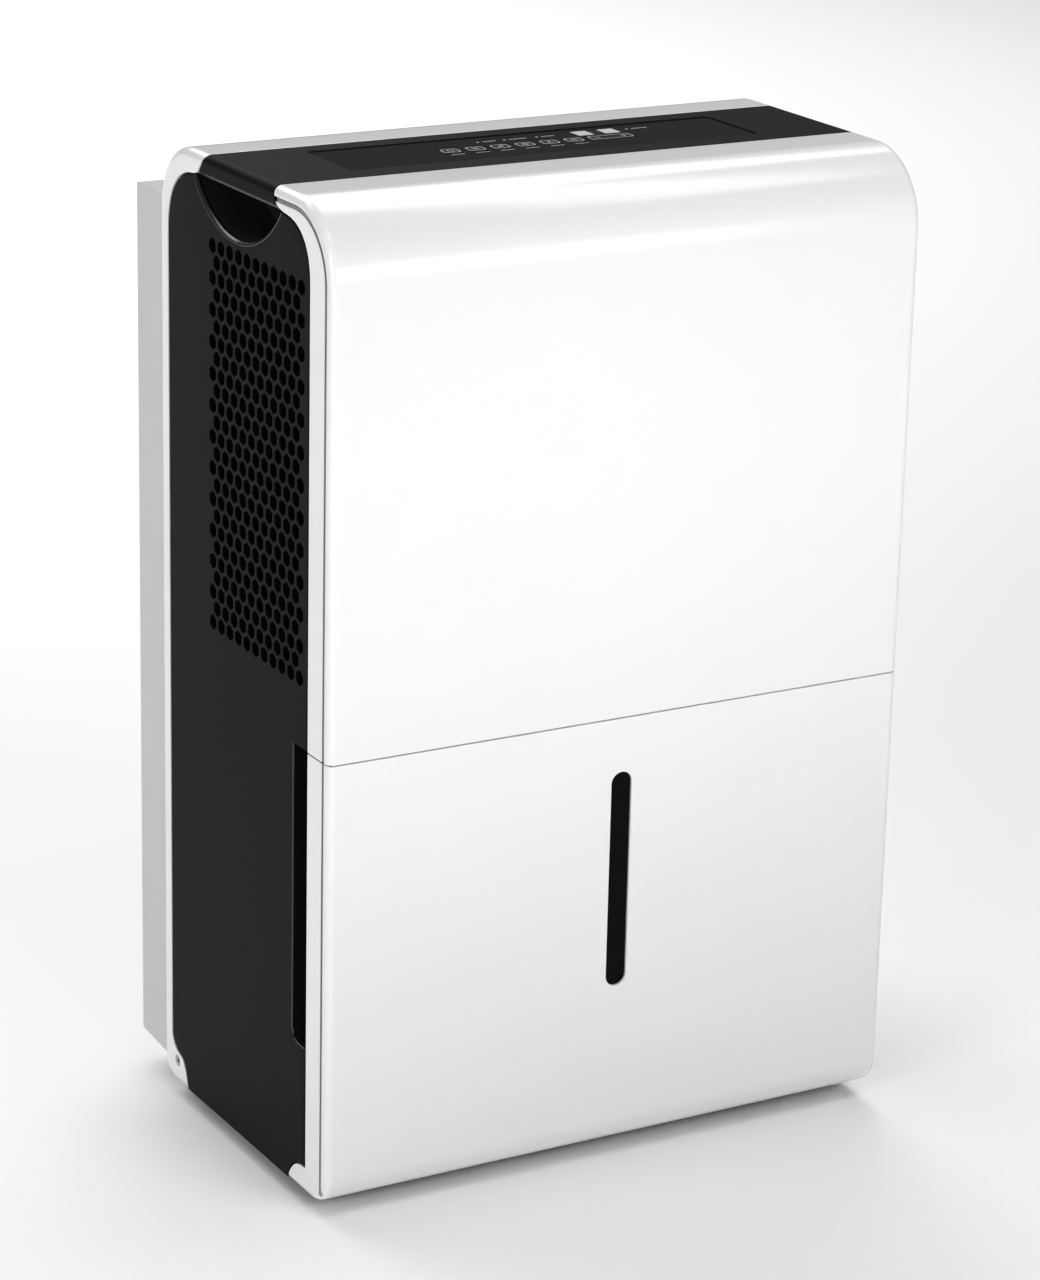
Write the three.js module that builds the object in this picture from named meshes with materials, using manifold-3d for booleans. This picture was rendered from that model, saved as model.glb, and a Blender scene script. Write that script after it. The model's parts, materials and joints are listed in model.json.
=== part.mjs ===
// Portable compressor dehumidifier: a front cover and a pull-out bucket in white, black side and top
// panels, a white rear cover with an intake box, and the refrigeration and fan parts they enclose.
// Millimetres, +Z up, front towards -Y. Inside the product group y runs back from the front face.
import * as THREE from "three";
import { mergeVertices } from "three/addons/utils/BufferGeometryUtils.js";
import Module from "manifold-3d";

// ---------- overall sizes ----------
const WIDTH = 392;
const HEIGHT = 612;
const BODY_DEPTH = 226; // front face to the back of the rear cover's band
const BOX_DEPTH = 50; // intake box behind the band
const FLOOR_GAP = 10; // casters hold the underside this far off the floor

// ---------- casings ----------
const SKIN = 2.5; // moulded wall
const PANEL = 3.5; // flat side panels
const EDGE = 5; // rounding along the sides of the whole casing
const SEAM = 0.8; // visible joint between casings
const TOUCH = 0.3; // gap where two pieces meet
const FRONT_TOP_RADIUS = 46;
const REAR_TOP_RADIUS = 41;
const FRONT_FOOT_RADIUS = 20;
const REAR_FOOT_RADIUS = 14;
const FRONT_BAND = 26.7; // white edge seen from the side, front
const REAR_BAND = 12; // and at the back
const PART_LINE = 289.6; // underside of the front cover above the floor
const TOP_FRONT = 72; // front edge of the black top
const TOP_BACK = 62; // and its rear edge, in front of the band's back
const TOP_SKIRT = 11; // depth of the top panel's side edge
const HOOK_DROP = 47; // band leaves the straight this far below the top
const HOOK_LOW = 13.5; // lowest point of the white hooks below the top
const TOE_FRONT = 23; // white toe behind the front band
const TOE_REAR = 22;
const TOE_HEIGHT = 16.3;

// ---------- handle scoops and finger grooves ----------
const SCOOP_RADIUS = 70.5;
const SCOOP_BACK = 49; // circle centre behind the black top's front edge
const SCOOP_RISE = 29; // circle centre above the top
const SCOOP_DEPTH = 36;
const SCOOP_SKIN = 2;
const GROOVE_WIDTH = 18;
const GROOVE_DEPTH = 13;
const GROOVE_FOOT = 104; // lower end above the floor
const GROOVE_ROUND = 7;

// ---------- exhaust grille ----------
const HOLE_PITCH = 11.52;
const ROW_PITCH = 9.56;
const HOLE_ROWS = 25;
const HOLE_COLUMNS = 11;
const HOLE_FLAT = 8.2; // across the upright sides
const HOLE_TALL = 9.1; // point to point
const HOLE_TOP = 50.9; // first row's centre below the top
const HOLE_FRONT = 37.4; // front column's centre behind the front face

// ---------- intake box, grille and filter ----------
const BOX_INSET = 6; // each side of the box, in from the casing's side
const BOX_TOP = 37; // box top below the casing's top
const BOX_FOOT = 17; // underside above the floor
const BOX_RADIUS = 5;
const INTAKE_SIDE = 46; // intake opening in from the casing's side
const INTAKE_DROP = 56; // its top edge below the casing's top
const SLATS = 17;
const SLAT_HEIGHT = 4;
const GRILLE_DEPTH = 5;
const GRILLE_LIP = 5;
const GRILLE_SINK = 0.4; // grille behind the box's rear face
const GRILLE_RIB = 4;
const FILTER_THICK = 7;
const FILTER_GAP = 8; // filter behind the grille
const FILTER_RIM = 8;
const FILTER_BAR = 3; // half width of the middle bar
const FILTER_NET = 1.2;
const FILTER_TAB = 30;
const TAB_RISE = 5;
const SLOT_CLEAR = 1;

// ---------- control panel ----------
const FASCIA_HALF = 137;
const FASCIA_BACK = 19; // front edge behind the black top's front edge
const FASCIA_DEEP = 58;
const FASCIA_SINK = 0.6; // below the black top
const FASCIA_THICK = 5;
const FASCIA_LIP = 4;
const BUTTON_NAMES = ["power", "mode", "fan_speed", "timer", "pump", "filter_reset"];
const BUTTON_PITCH = 16.7;
const BUTTON_FIRST = -58.2;
const BUTTON_WIDE = 12.4;
const BUTTON_DEEP = 10.6;
const BUTTON_BACK = 28; // keys' middle behind the fascia's front edge
const BUTTON_ROUND = 2;
const BUTTON_PROUD = 0.3; // above the fascia
const BUTTON_FLANGE = 1.2;
const BUTTON_TALL = 7.8;
const BUTTON_CLEAR = 0.4;
const ROCKER_X = 50.6;
const ROCKER_WIDE = 30;
const ROCKER_DROP = 1.3;
const DISPLAY_X = 50;
const DISPLAY_BACK = 45;
const DISPLAY_SEAT = 2;
const DISPLAY_WIDE = 32;
const DISPLAY_DEEP = 15;
const BOARD_THICK = 1.6;
const BOARD_DROP = 14; // board's top face below the casing's top
const BOARD_HALF = 90;
const DOME_RADIUS = 2.5;
const DIGITS_RIM = 2;

// ---------- bucket ----------
const BUCKET_INSET = 18; // tub in from the casing's side
const BUCKET_DEEP = 118;
const BUCKET_DROP = 31.6; // tub's rim below the part line
const BUCKET_TAPER = 6;
const TAPER_RISE = 30; // height of the leaning foot
const BUCKET_TRAVEL_CLEAR = 1;
const WINDOW_WIDE = 14;
const WINDOW_LOW = 117.5;
const WINDOW_DROP = 34.6; // upper end below the part line
const WINDOW_THICK = 2.6;
const WINDOW_SINK = 1; // behind the front face
const WINDOW_LIP = 3;
const LID_THICK = 3;
const LID_SKIRT = 5;
const LID_RIM = 2;
const POUR_RADIUS = 16;
const POUR_INSET = 40;
const DRIP_HALF = 35;
const DRIP_FRONT = 22; // opening before the spout
const DRIP_REAR = 16;
const EAR_Y = 62;
const EAR_RISE = 8; // bail pivot above the lid
const EAR_HALF = 7;
const EAR_THICK = 3.2;
const EAR_ROOT = 8; // ear runs down the tub's wall
const BAIL_REACH = 36;
const BAIL_RADIUS = 4;
const BAIL_FLAT = 1; // arms are this much slimmer each side
const GRIP_HALF = 55;
const GRIP_SKIN = 1.2;
const PIVOT_RADIUS = 2.4;
const PIVOT_CLEAR = 0.4;
const FLOAT_X = -110;
const FLOAT_WIDE = 44;
const FLOAT_DEEP = 26;
const FLOAT_TALL = 24;
const FLOAT_ARM = 14;
const FLOAT_DROP = 24; // pivot below the tub's rim
const FLOAT_BACK = 5; // pivot before the tub's rear wall
const FLOAT_PIN = 1.6;
const FLOAT_CHEEK = 3;
const BRACKET_HALF = 3;

// ---------- base, deck and partition ----------
const PAN_TOP = 51; // floor of the bucket bay
const PAN_REAR_FLOOR = 23;
const PAN_SKIN = 3;
const BAY_GAP = 4; // bay wall behind the tub
const DECK_RISE = 22.4; // deck above the part line
const DECK_RIM = 12;
const DECK_FRONT = 31;
const TRAY_INSET = 38; // rear tray in from the casing's side
const TRAY_START_BACK = 36; // its start before the band's back
const TRAY_END_BACK = 28; // and its end behind it
const SPOUT_X = -60;
const SPOUT_Y = 95;
const SPOUT_RADIUS = 8;
const SPOUT_LONG = 10;
const SPOUT_SKIN = 2;
const TRAY_DRAIN = 22; // drain hole in from the tray's side
const TRAY_DRAIN_BACK = 30;
const TRAY_DRAIN_RADIUS = 3;
const SENSOR_TALL = 16;
const SENSOR_HALF = 9;
const SENSOR_DEEP = 14;

// ---------- casters ----------
const CASTER_INSET = 46;
const CASTER_FRONT_Y = 62;
const CASTER_BACK = 44; // rear pair before the band's back
const WHEEL_RADIUS = 14;
const WHEEL_WIDE = 12;
const CASTER_TRAIL = 8;
const AXLE_RADIUS = 2;
const STEM_RADIUS = 4;
const FORK_SKIN = 3;
const FORK_DISC = 14;
const FORK_CLEAR = 1; // beside the wheel
const CROWN_CLEAR = 3; // above the wheel
const STEM_CLEAR = 0.5;
const BOSS_SKIN = 4;
const BOSS_TALL = 5;
const CASTER_ROOM = 31; // half width of a rear caster's housing

// ---------- fan ----------
const FAN_X = 45;
const WHEEL_FAN_RADIUS = 94;
const FAN_FRONT = 52;
const FAN_CLEAR = 16; // wheel before the scroll's rear edge
const RIM_LONG = 4;
const RIM_WIDE = 8;
const DISC_THICK = 3;
const HUB_LONG = 28;
const HUB_TAPER = 4;
const BLADES = 20;
const BLADE_CHORD = 20;
const BLADE_THICK = 1.8;
const BLADE_SWEEP = 0.55; // radians between a blade's inner and outer edge
const SCROLL_FRONT = 31;
const SCROLL_CLEAR = 3.3; // past the last column of holes
const SCROLL_SKIN = 2;
const SCROLL_FOOT = 12; // width of the two feet that stand in the deck
const SCROLL_STANCE = 140;
const INLET_RADIUS = 78;
const BELL_LONG = 10;
const EYE_CLEAR = 2;
const SHAFT_RADIUS = 4;
const HUB_RADIUS = 16;
const MOTOR_RADIUS = 42;
const MOTOR_FRONT = 9;
const NOSE_RADIUS = 12;
const BRACKET_RING = 26;
const BRACKET_REACH = 14;
const BRACKET_ARM = 8;

// ---------- refrigeration ----------
const COIL_INSET = 56;
const COIL_THICK = 22;
const COIL_RISE = 19; // coils above the deck
const COIL_DROP = 56; // and below the casing's top
const CONDENSER_BACK = 28; // front face before the band's back
const EVAPORATOR_BACK = 1; // front face behind it
const FIN_PITCH = 16;
const FIN_GAP = 6;
const FIN_CUT = 4;
const COIL_PASSES = 4;
const TUBE_RADIUS = 4;
const TUBE_OUT = 6; // straight end before a return bend
const CAPILLARY_RADIUS = 1.5;
const PIPE_HIGH = 8; // joints in from the coils' ends
const COMPRESSOR_X = 40;
const COMPRESSOR_BACK = 32;
const COMPRESSOR_RADIUS = 56;
const COMPRESSOR_ROOM = 103.4; // under the deck, for the pipes
const PLATE_THICK = 3;
const MOUNT_TALL = 9;
const MOUNT_CIRCLE = 62;
const MOUNT_RADIUS = 10;
const CAPACITOR_X = -120;
const CAPACITOR_RADIUS = 9;
const CAPACITOR_HALF = 30;
const CAPACITOR_RISE = 40; // above the fan's axis

// ---------- rear fittings ----------
const FITTING_BACK = 24; // behind the band's back
const DRAIN_DROP = 6; // below the deck's underside
const FITTING_LONG = 12; // inside the box
const OUTLET_PROUD = 0.8;
const OUTLET_WALL = 3;
const OUTLET_FLANGE = 5;
const DRAIN_RADIUS = 9;
const CAP_RADIUS = 13;
const CAP_THICK = 4.5;
const PLUG_LONG = 10;
const PLUG_CLEAR = 0.5;
const HOSE_RADIUS = 4;
const GLAND_Z = 70;
const GLAND_RADIUS = 8;
const GLAND_BORE = 3.6;
const GLAND_PROUD = 5.5;
const GLAND_RIM = 3;
const SCREW_RADIUS = 3.2;
const SCREW_LONG = 7;
const SCREW_SINK = 0.8;
const CROSS_LONG = 2;
const CROSS_HALF = 0.5;
const CROSS_DEEP = 0.8;
const SCREW_BACK = 8; // before the rear band
const SCREW_RISE = 14.6; // above the underside

// ---------- derived ----------
const HALF = WIDTH / 2;
const TOTAL_DEPTH = BODY_DEPTH + BOX_DEPTH;
const BACK = BODY_DEPTH - REAR_BAND; // front limit of the rear band
const BOX_HALF = HALF - BOX_INSET;
const BOX_Z1 = HEIGHT - BOX_TOP;
const OUTLET_HIGH = HEIGHT - HOLE_TOP + HOLE_TALL / 2;
const OUTLET_LOW = HEIGHT - HOLE_TOP - (HOLE_ROWS - 1) * ROW_PITCH - HOLE_TALL / 2;
const TOP_REAR = BODY_DEPTH - TOP_BACK;
const SCOOP_Y = TOP_FRONT + SCOOP_BACK;
const FASCIA_FRONT = TOP_FRONT + FASCIA_BACK;
const FASCIA_REAR = FASCIA_FRONT + FASCIA_DEEP;
const BUTTON_ROW = FASCIA_FRONT + BUTTON_BACK;
const DISPLAY_ROW = FASCIA_FRONT + DISPLAY_BACK;
const DECK_LOW = PART_LINE + DECK_RISE;
const INTAKE_HALF = HALF - INTAKE_SIDE;
const INTAKE_LOW = DECK_LOW;
const INTAKE_HIGH = HEIGHT - INTAKE_DROP;
const WINDOW_HIGH = PART_LINE - WINDOW_DROP;
const BUCKET_SIDE = HALF - BUCKET_INSET;
const BUCKET_TOP = PART_LINE - BUCKET_DROP;
const WINDOW_BACK = SKIN + TOUCH + WINDOW_THICK;
const BUCKET_FRONT = WINDOW_BACK + 2 * TOUCH;
const BUCKET_REAR = BUCKET_FRONT + BUCKET_DEEP;
const BAY_WALL_Y = BUCKET_REAR + BAY_GAP;
const TRAY_HALF = HALF - TRAY_INSET;
const TRAY_START = BODY_DEPTH - TRAY_START_BACK;
const TRAY_END = BODY_DEPTH + TRAY_END_BACK;
const CASTER_X = HALF - CASTER_INSET;
const CASTER_REAR_Y = BODY_DEPTH - CASTER_BACK;
const SCROLL_REAR = HOLE_FRONT + (HOLE_COLUMNS - 1) * HOLE_PITCH + HOLE_FLAT / 2 + SCROLL_CLEAR;
const FAN_REAR = SCROLL_REAR - FAN_CLEAR;
const COIL_HALF = HALF - COIL_INSET;
const COIL_FOOT = DECK_LOW + COIL_RISE;
const COIL_HEAD = HEIGHT - COIL_DROP;
const CONDENSER_Y = BODY_DEPTH - CONDENSER_BACK;
const EVAPORATOR_Y = BODY_DEPTH + EVAPORATOR_BACK;
const COMPRESSOR_Y = BODY_DEPTH - COMPRESSOR_BACK;
const COMPRESSOR_FOOT = PAN_REAR_FLOOR + MOUNT_TALL + 2 * TOUCH;
const COMPRESSOR_TALL = DECK_LOW - COMPRESSOR_FOOT - COMPRESSOR_ROOM;
const FITTING_Y = BODY_DEPTH + FITTING_BACK;
const DRAIN_Z = DECK_LOW - DRAIN_DROP;
const FAN_Z = (OUTLET_HIGH + OUTLET_LOW) / 2;
const SCROLL_RADIUS = (OUTLET_HIGH - OUTLET_LOW) / 2;
const SIDE_INNER = HALF - PANEL - TOUCH;
const FAR = 40; // overshoot of cutting shapes

const wasm = await Module();
wasm.setup();

// ---------- solids ----------
function solid(geometry) {
  const bare = geometry.index ? geometry.toNonIndexed() : geometry.clone();
  bare.deleteAttribute("normal");
  bare.deleteAttribute("uv");
  const merged = mergeVertices(bare, 1e-4);
  const mesh = new wasm.Mesh({
    numProp: 3,
    vertProperties: merged.attributes.position.array,
    triVerts: new Uint32Array(merged.index.array),
  });
  return new wasm.Manifold(mesh);
}

function union(...pieces) {
  return pieces.flat().reduce((whole, piece) => whole.add(piece));
}

function cut(whole, ...tools) {
  return tools.flat().reduce((left, tool) => left.subtract(tool), whole);
}

function box(x0, x1, y0, y1, z0, z1) {
  const geometry = new THREE.BoxGeometry(x1 - x0, y1 - y0, z1 - z0);
  geometry.translate((x0 + x1) / 2, (y0 + y1) / 2, (z0 + z1) / 2);
  return solid(geometry);
}

// A cylinder along one axis, from a to b on it. The facets start with a flat underneath.
function rod(axis, a, b, centre, radius, sides = 16, endRadius = radius) {
  const geometry = new THREE.CylinderGeometry(endRadius, radius, b - a, sides);
  geometry.rotateY(Math.PI / sides);
  geometry.translate(0, (a + b) / 2, 0);
  if (axis === "x") geometry.rotateZ(-Math.PI / 2);
  if (axis === "z") geometry.rotateX(Math.PI / 2);
  geometry.translate(centre[0], centre[1], centre[2]);
  return solid(geometry);
}

const FLAT = { bevelEnabled: false, curveSegments: 4 };
const CHAMFERED = { bevelEnabled: false, curveSegments: 1 };

// An outline in (y, z) carried along x.
function prismX(shape, x0, x1, options = FLAT) {
  const geometry = new THREE.ExtrudeGeometry(shape, { ...options, depth: x1 - x0 });
  const turn = new THREE.Matrix4().makeBasis(
    new THREE.Vector3(0, 1, 0),
    new THREE.Vector3(0, 0, 1),
    new THREE.Vector3(1, 0, 0),
  );
  geometry.applyMatrix4(turn);
  geometry.translate(x0, 0, 0);
  return solid(geometry);
}

// An outline in (x, z) carried along y.
function prismY(shape, y0, y1, options = FLAT) {
  const geometry = new THREE.ExtrudeGeometry(shape, { ...options, depth: y1 - y0 });
  geometry.rotateX(Math.PI / 2);
  geometry.translate(0, y1, 0);
  return solid(geometry);
}

// An outline in (x, y) carried along z.
function prismZ(shape, z0, z1, options = FLAT) {
  const geometry = new THREE.ExtrudeGeometry(shape, { ...options, depth: z1 - z0 });
  geometry.translate(0, 0, z0);
  return solid(geometry);
}

// A rectangle with rounded corners, from (u0, v0) to (u1, v1).
function roundedRectangle(u0, u1, v0, v1, radius) {
  const shape = new THREE.Shape();
  shape.moveTo(u0 + radius, v0);
  shape.lineTo(u1 - radius, v0);
  shape.absarc(u1 - radius, v0 + radius, radius, -Math.PI / 2, 0);
  shape.lineTo(u1, v1 - radius);
  shape.absarc(u1 - radius, v1 - radius, radius, 0, Math.PI / 2);
  shape.lineTo(u0 + radius, v1);
  shape.absarc(u0 + radius, v1 - radius, radius, Math.PI / 2, Math.PI);
  shape.lineTo(u0, v0 + radius);
  shape.absarc(u0 + radius, v0 + radius, radius, Math.PI, 1.5 * Math.PI);
  return shape;
}

function circle(u, v, radius) {
  return new THREE.Shape().absarc(u, v, radius, 0, 2 * Math.PI);
}

// A round tube through the points, as a smooth curve.
function tube(points, radius, steps, sides = 4) {
  const path = new THREE.CatmullRomCurve3(points.map((p) => new THREE.Vector3(...p)), false, "centripetal");
  const section = circle(0, 0, radius);
  return solid(
    new THREE.ExtrudeGeometry(section, { extrudePath: path, steps, curveSegments: sides, bevelEnabled: false }),
  );
}

// ---------- the casing's side outline and its regions, in (y, z) ----------
function casingOutline(inset) {
  const y0 = inset;
  const y1 = BODY_DEPTH - inset;
  const z0 = FLOOR_GAP + inset;
  const z1 = HEIGHT - inset;
  const frontTop = FRONT_TOP_RADIUS - inset;
  const rearTop = REAR_TOP_RADIUS - inset;
  const rearFoot = REAR_FOOT_RADIUS - inset;
  const frontFoot = FRONT_FOOT_RADIUS - inset;
  const shape = new THREE.Shape();
  shape.moveTo(y0 + frontFoot, z0);
  shape.lineTo(y1 - rearFoot, z0);
  shape.absarc(y1 - rearFoot, z0 + rearFoot, rearFoot, -Math.PI / 2, 0);
  shape.lineTo(y1, z1 - rearTop);
  shape.absarc(y1 - rearTop, z1 - rearTop, rearTop, 0, Math.PI / 2);
  shape.lineTo(y0 + frontTop, z1);
  shape.absarc(y0 + frontTop, z1 - frontTop, frontTop, Math.PI / 2, Math.PI);
  shape.lineTo(y0, z0 + frontFoot);
  shape.absarc(y0 + frontFoot, z0 + frontFoot, frontFoot, Math.PI, 1.5 * Math.PI);
  return shape;
}

// Front cover's share: the band, swelling into a hook under the front of the top.
function frontRegion(grow) {
  const band = FRONT_BAND + grow;
  const hook = HEIGHT - HOOK_LOW - grow;
  const tip = TOP_FRONT + grow;
  const shape = new THREE.Shape();
  shape.moveTo(-FAR, PART_LINE - grow);
  shape.lineTo(band, PART_LINE - grow);
  shape.lineTo(band, HEIGHT - HOOK_DROP);
  shape.bezierCurveTo(band, hook - 14, band + 11, hook - 1.5, band + 29, hook);
  shape.bezierCurveTo(tip - 6, hook + 1, tip - 1, hook + 2.5, tip, HEIGHT - 5);
  shape.lineTo(tip, HEIGHT + FAR);
  shape.lineTo(-FAR, HEIGHT + FAR);
  return shape;
}

// Bucket front's share: the band below the part line, with a toe at the foot.
function bucketRegion(grow) {
  const band = FRONT_BAND + grow;
  const toeTop = FLOOR_GAP + TOE_HEIGHT + grow;
  const toeEnd = FRONT_BAND + TOE_FRONT + grow;
  const shape = new THREE.Shape();
  shape.moveTo(-FAR, -FAR);
  shape.lineTo(toeEnd + 1, -FAR);
  shape.lineTo(toeEnd + 1, FLOOR_GAP - 1);
  shape.bezierCurveTo(toeEnd - 2, FLOOR_GAP + 8, toeEnd - 8, toeTop, band + 5, toeTop);
  shape.lineTo(band, toeTop);
  shape.lineTo(band, PART_LINE - SEAM + grow);
  shape.lineTo(-FAR, PART_LINE - SEAM + grow);
  return shape;
}

// Rear cover's share: the rear band with its hook on top and its toe below.
function rearRegion(grow) {
  const band = BACK - grow;
  const hook = HEIGHT - HOOK_LOW - grow;
  const toeTop = FLOOR_GAP + TOE_HEIGHT + 3 + grow;
  const toeEnd = BACK - TOE_REAR - grow;
  const tip = TOP_REAR - grow;
  const shape = new THREE.Shape();
  shape.moveTo(toeEnd - 1, FLOOR_GAP - FAR);
  shape.lineTo(BODY_DEPTH + FAR, FLOOR_GAP - FAR);
  shape.lineTo(BODY_DEPTH + FAR, HEIGHT + FAR);
  shape.lineTo(tip, HEIGHT + FAR);
  shape.lineTo(tip, HEIGHT - 1);
  shape.bezierCurveTo(tip + 6, HEIGHT - 7, tip + 7, hook + 0.5, tip + 15, hook);
  shape.bezierCurveTo(band - 15, hook - 1, band - 1, hook - 13, band, HEIGHT - HOOK_DROP - 4);
  shape.lineTo(band, toeTop + 12);
  shape.bezierCurveTo(band - 1, toeTop + 5, band - 7, toeTop + 1, band - 13, toeTop);
  shape.bezierCurveTo(toeEnd + 4, toeTop - 2, toeEnd + 1, toeTop - 9, toeEnd - 1, FLOOR_GAP - 1);
  return shape;
}

// Top panel's share: the bar between the two hooks.
function topRegion() {
  const low = HEIGHT - TOP_SKIRT;
  const shape = new THREE.Shape();
  shape.moveTo(TOP_FRONT - 8, low);
  shape.lineTo(TOP_REAR + 15, low);
  shape.lineTo(TOP_REAR + 15, HEIGHT + FAR);
  shape.lineTo(TOP_FRONT - 8, HEIGHT + FAR);
  return shape;
}

// Scoop: the part of a circle that lies below the top panel's skirt.
function scoopRegion(shrink, top) {
  const radius = SCOOP_RADIUS - shrink;
  const centreZ = HEIGHT + SCOOP_RISE;
  const start = Math.PI + Math.asin((centreZ - top) / radius);
  const end = 2 * Math.PI - Math.asin((centreZ - top) / radius);
  const shape = new THREE.Shape();
  shape.absarc(SCOOP_Y, centreZ, radius, start, end);
  shape.closePath();
  return shape;
}

// Finger groove behind the bucket's side edge.
function grooveRegion() {
  const y0 = FRONT_BAND;
  const y1 = FRONT_BAND + GROOVE_WIDTH;
  const shape = new THREE.Shape();
  shape.moveTo(y0 - 1, GROOVE_FOOT);
  shape.lineTo(y1 - GROOVE_ROUND, GROOVE_FOOT);
  shape.absarc(y1 - GROOVE_ROUND, GROOVE_FOOT + GROOVE_ROUND, GROOVE_ROUND, -Math.PI / 2, 0);
  shape.lineTo(y1, PART_LINE);
  shape.lineTo(y0 - 1, PART_LINE);
  return shape;
}

const envelope = prismX(casingOutline(EDGE), -HALF + EDGE, HALF - EDGE, {
  bevelEnabled: true,
  bevelThickness: EDGE,
  bevelSize: EDGE,
  bevelSegments: 2,
  curveSegments: 4,
});
const hollow = prismX(casingOutline(SKIN), -HALF + SKIN, HALF - SKIN);

function casing(region) {
  return envelope.intersect(prismX(region, -HALF - FAR, HALF + FAR)).subtract(hollow);
}

// ---------- scene graph ----------
const WHITE = { color: 0xf3f4f5, roughness: 0.3, metalness: 0 };
const BLACK = { color: 0x1c1d1f, roughness: 0.55, metalness: 0 };
const GLOSS_BLACK = { color: 0x0d0e10, roughness: 0.12, metalness: 0 };
const KEY = { color: 0x1a1b1e, roughness: 0.25, metalness: 0 };
const CLEAR = { color: 0x15181b, roughness: 0.08, metalness: 0 };
const PALE_CLEAR = { color: 0xc9ced2, roughness: 0.2, metalness: 0 };
const GREY = { color: 0xa9adb1, roughness: 0.55, metalness: 0 };
const DARK_GREY = { color: 0x4a4d50, roughness: 0.6, metalness: 0 };
const TUB = { color: 0xd8dadb, roughness: 0.4, metalness: 0 };
const COPPER = { color: 0xb87042, roughness: 0.35, metalness: 1 };
const ALUMINIUM = { color: 0xc4c8cb, roughness: 0.4, metalness: 1 };
const STEEL = { color: 0x9b9ea1, roughness: 0.35, metalness: 1 };
const PAINTED = { color: 0x191a1b, roughness: 0.5, metalness: 0.2 };
const RUBBER = { color: 0x202122, roughness: 0.85, metalness: 0 };
const CIRCUIT = { color: 0x1f5a38, roughness: 0.5, metalness: 0 };

const product = new THREE.Group();
product.position.set(0, -TOTAL_DEPTH / 2, 0);

function group(parent) {
  const made = new THREE.Group();
  parent.add(made);
  return made;
}

function addPiece(parent, name, piece, finish) {
  const made = piece.getMesh();
  const geometry = new THREE.BufferGeometry();
  geometry.setAttribute("position", new THREE.BufferAttribute(new Float32Array(made.vertProperties), 3));
  geometry.setIndex(new THREE.BufferAttribute(new Uint32Array(made.triVerts), 1));
  const mesh = new THREE.Mesh(geometry, new THREE.MeshStandardMaterial({ ...finish, flatShading: true }));
  mesh.name = name;
  parent.add(mesh);
}

// ---------- casings ----------
function frontCover() {
  return casing(frontRegion(0));
}

function topPanel() {
  const inner = HALF - PANEL;
  const reach = box(-inner, inner, 0, BODY_DEPTH, 0, HEIGHT - SKIN);
  const bar = envelope.intersect(prismX(topRegion(), -HALF - FAR, HALF + FAR));
  const opening = box(
    -FASCIA_HALF - TOUCH, FASCIA_HALF + TOUCH, FASCIA_FRONT - TOUCH, FASCIA_REAR + TOUCH, HEIGHT - FAR, HEIGHT + FAR,
  );
  const neighbours = [frontRegion(SEAM), rearRegion(SEAM)].map((region) => prismX(region, -HALF - FAR, HALF + FAR));
  return cut(bar, reach, opening, neighbours);
}

function exhaustHoles() {
  const halfFlat = HOLE_FLAT / 2;
  const halfTall = HOLE_TALL / 2;
  const shoulder = halfTall / 2;
  const holes = [];
  for (let row = 0; row < HOLE_ROWS; row += 1) {
    const odd = row % 2;
    for (let column = 0; column < HOLE_COLUMNS - odd; column += 1) {
      const y = HOLE_FRONT + (column + odd / 2) * HOLE_PITCH;
      const z = HEIGHT - HOLE_TOP - row * ROW_PITCH;
      const shape = new THREE.Shape();
      shape.moveTo(y, z - halfTall);
      shape.lineTo(y + halfFlat, z - shoulder);
      shape.lineTo(y + halfFlat, z + shoulder);
      shape.lineTo(y, z + halfTall);
      shape.lineTo(y - halfFlat, z + shoulder);
      shape.lineTo(y - halfFlat, z - shoulder);
      holes.push(prismX(shape, -HALF - FAR, -HALF + FAR));
    }
  }
  return holes;
}

// side is -1 on the left and 1 on the right.
function sidePanel(side) {
  const inner = side < 0 ? -HALF : HALF - PANEL;
  const sheet = prismX(casingOutline(SKIN / 2), inner, inner + PANEL);
  const regions = [frontRegion(SEAM), bucketRegion(SEAM), rearRegion(SEAM), topRegion()];
  regions.push(scoopRegion(0, HEIGHT - TOP_SKIRT + 1), grooveRegion());
  const across = (region) => prismX(region, -HALF - FAR, HALF + FAR);
  const skirtGap = box(-HALF - FAR, HALF + FAR, 0, BODY_DEPTH, HEIGHT - TOP_SKIRT - SEAM, HEIGHT + FAR);
  const panel = cut(sheet, regions.map(across), skirtGap);
  return union(panel, grooveLiner(side));
}

// Walls behind the groove: back, rear, top and bottom. The front stays open behind the bucket's edge.
function grooveLiner(side) {
  const y1 = FRONT_BAND + GROOVE_WIDTH;
  const outer = HALF - PANEL / 2;
  const inner = HALF - GROOVE_DEPTH;
  const span = (x0, x1, ...rest) => (side < 0 ? box(-x1, -x0, ...rest) : box(x0, x1, ...rest));
  const shell = span(inner - SKIN, outer, FRONT_BAND + SEAM, y1 + SKIN, GROOVE_FOOT - SKIN, PART_LINE + SKIN);
  const room = prismX(grooveRegion(), side < 0 ? -HALF - FAR : inner, side < 0 ? -inner : HALF + FAR);
  const overPanel = span(HALF - PANEL, HALF, FRONT_BAND - 1, FRONT_BAND + SEAM, 0, HEIGHT);
  return cut(shell, room, overPanel);
}

function leftSidePanel() {
  return cut(sidePanel(-1), exhaustHoles());
}

function handlePocket(side) {
  const top = HEIGHT - TOP_SKIRT - 1;
  const mouth = HALF - PANEL - TOUCH;
  const back = mouth - SCOOP_DEPTH;
  const along = (region, x0, x1) => (side < 0 ? prismX(region, -x1, -x0) : prismX(region, x0, x1));
  const shell = along(scoopRegion(-SCOOP_SKIN, top), back, mouth);
  const room = along(scoopRegion(0, top - SCOOP_SKIN), back + SCOOP_SKIN, mouth + FAR);
  return cut(shell, room);
}

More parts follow.
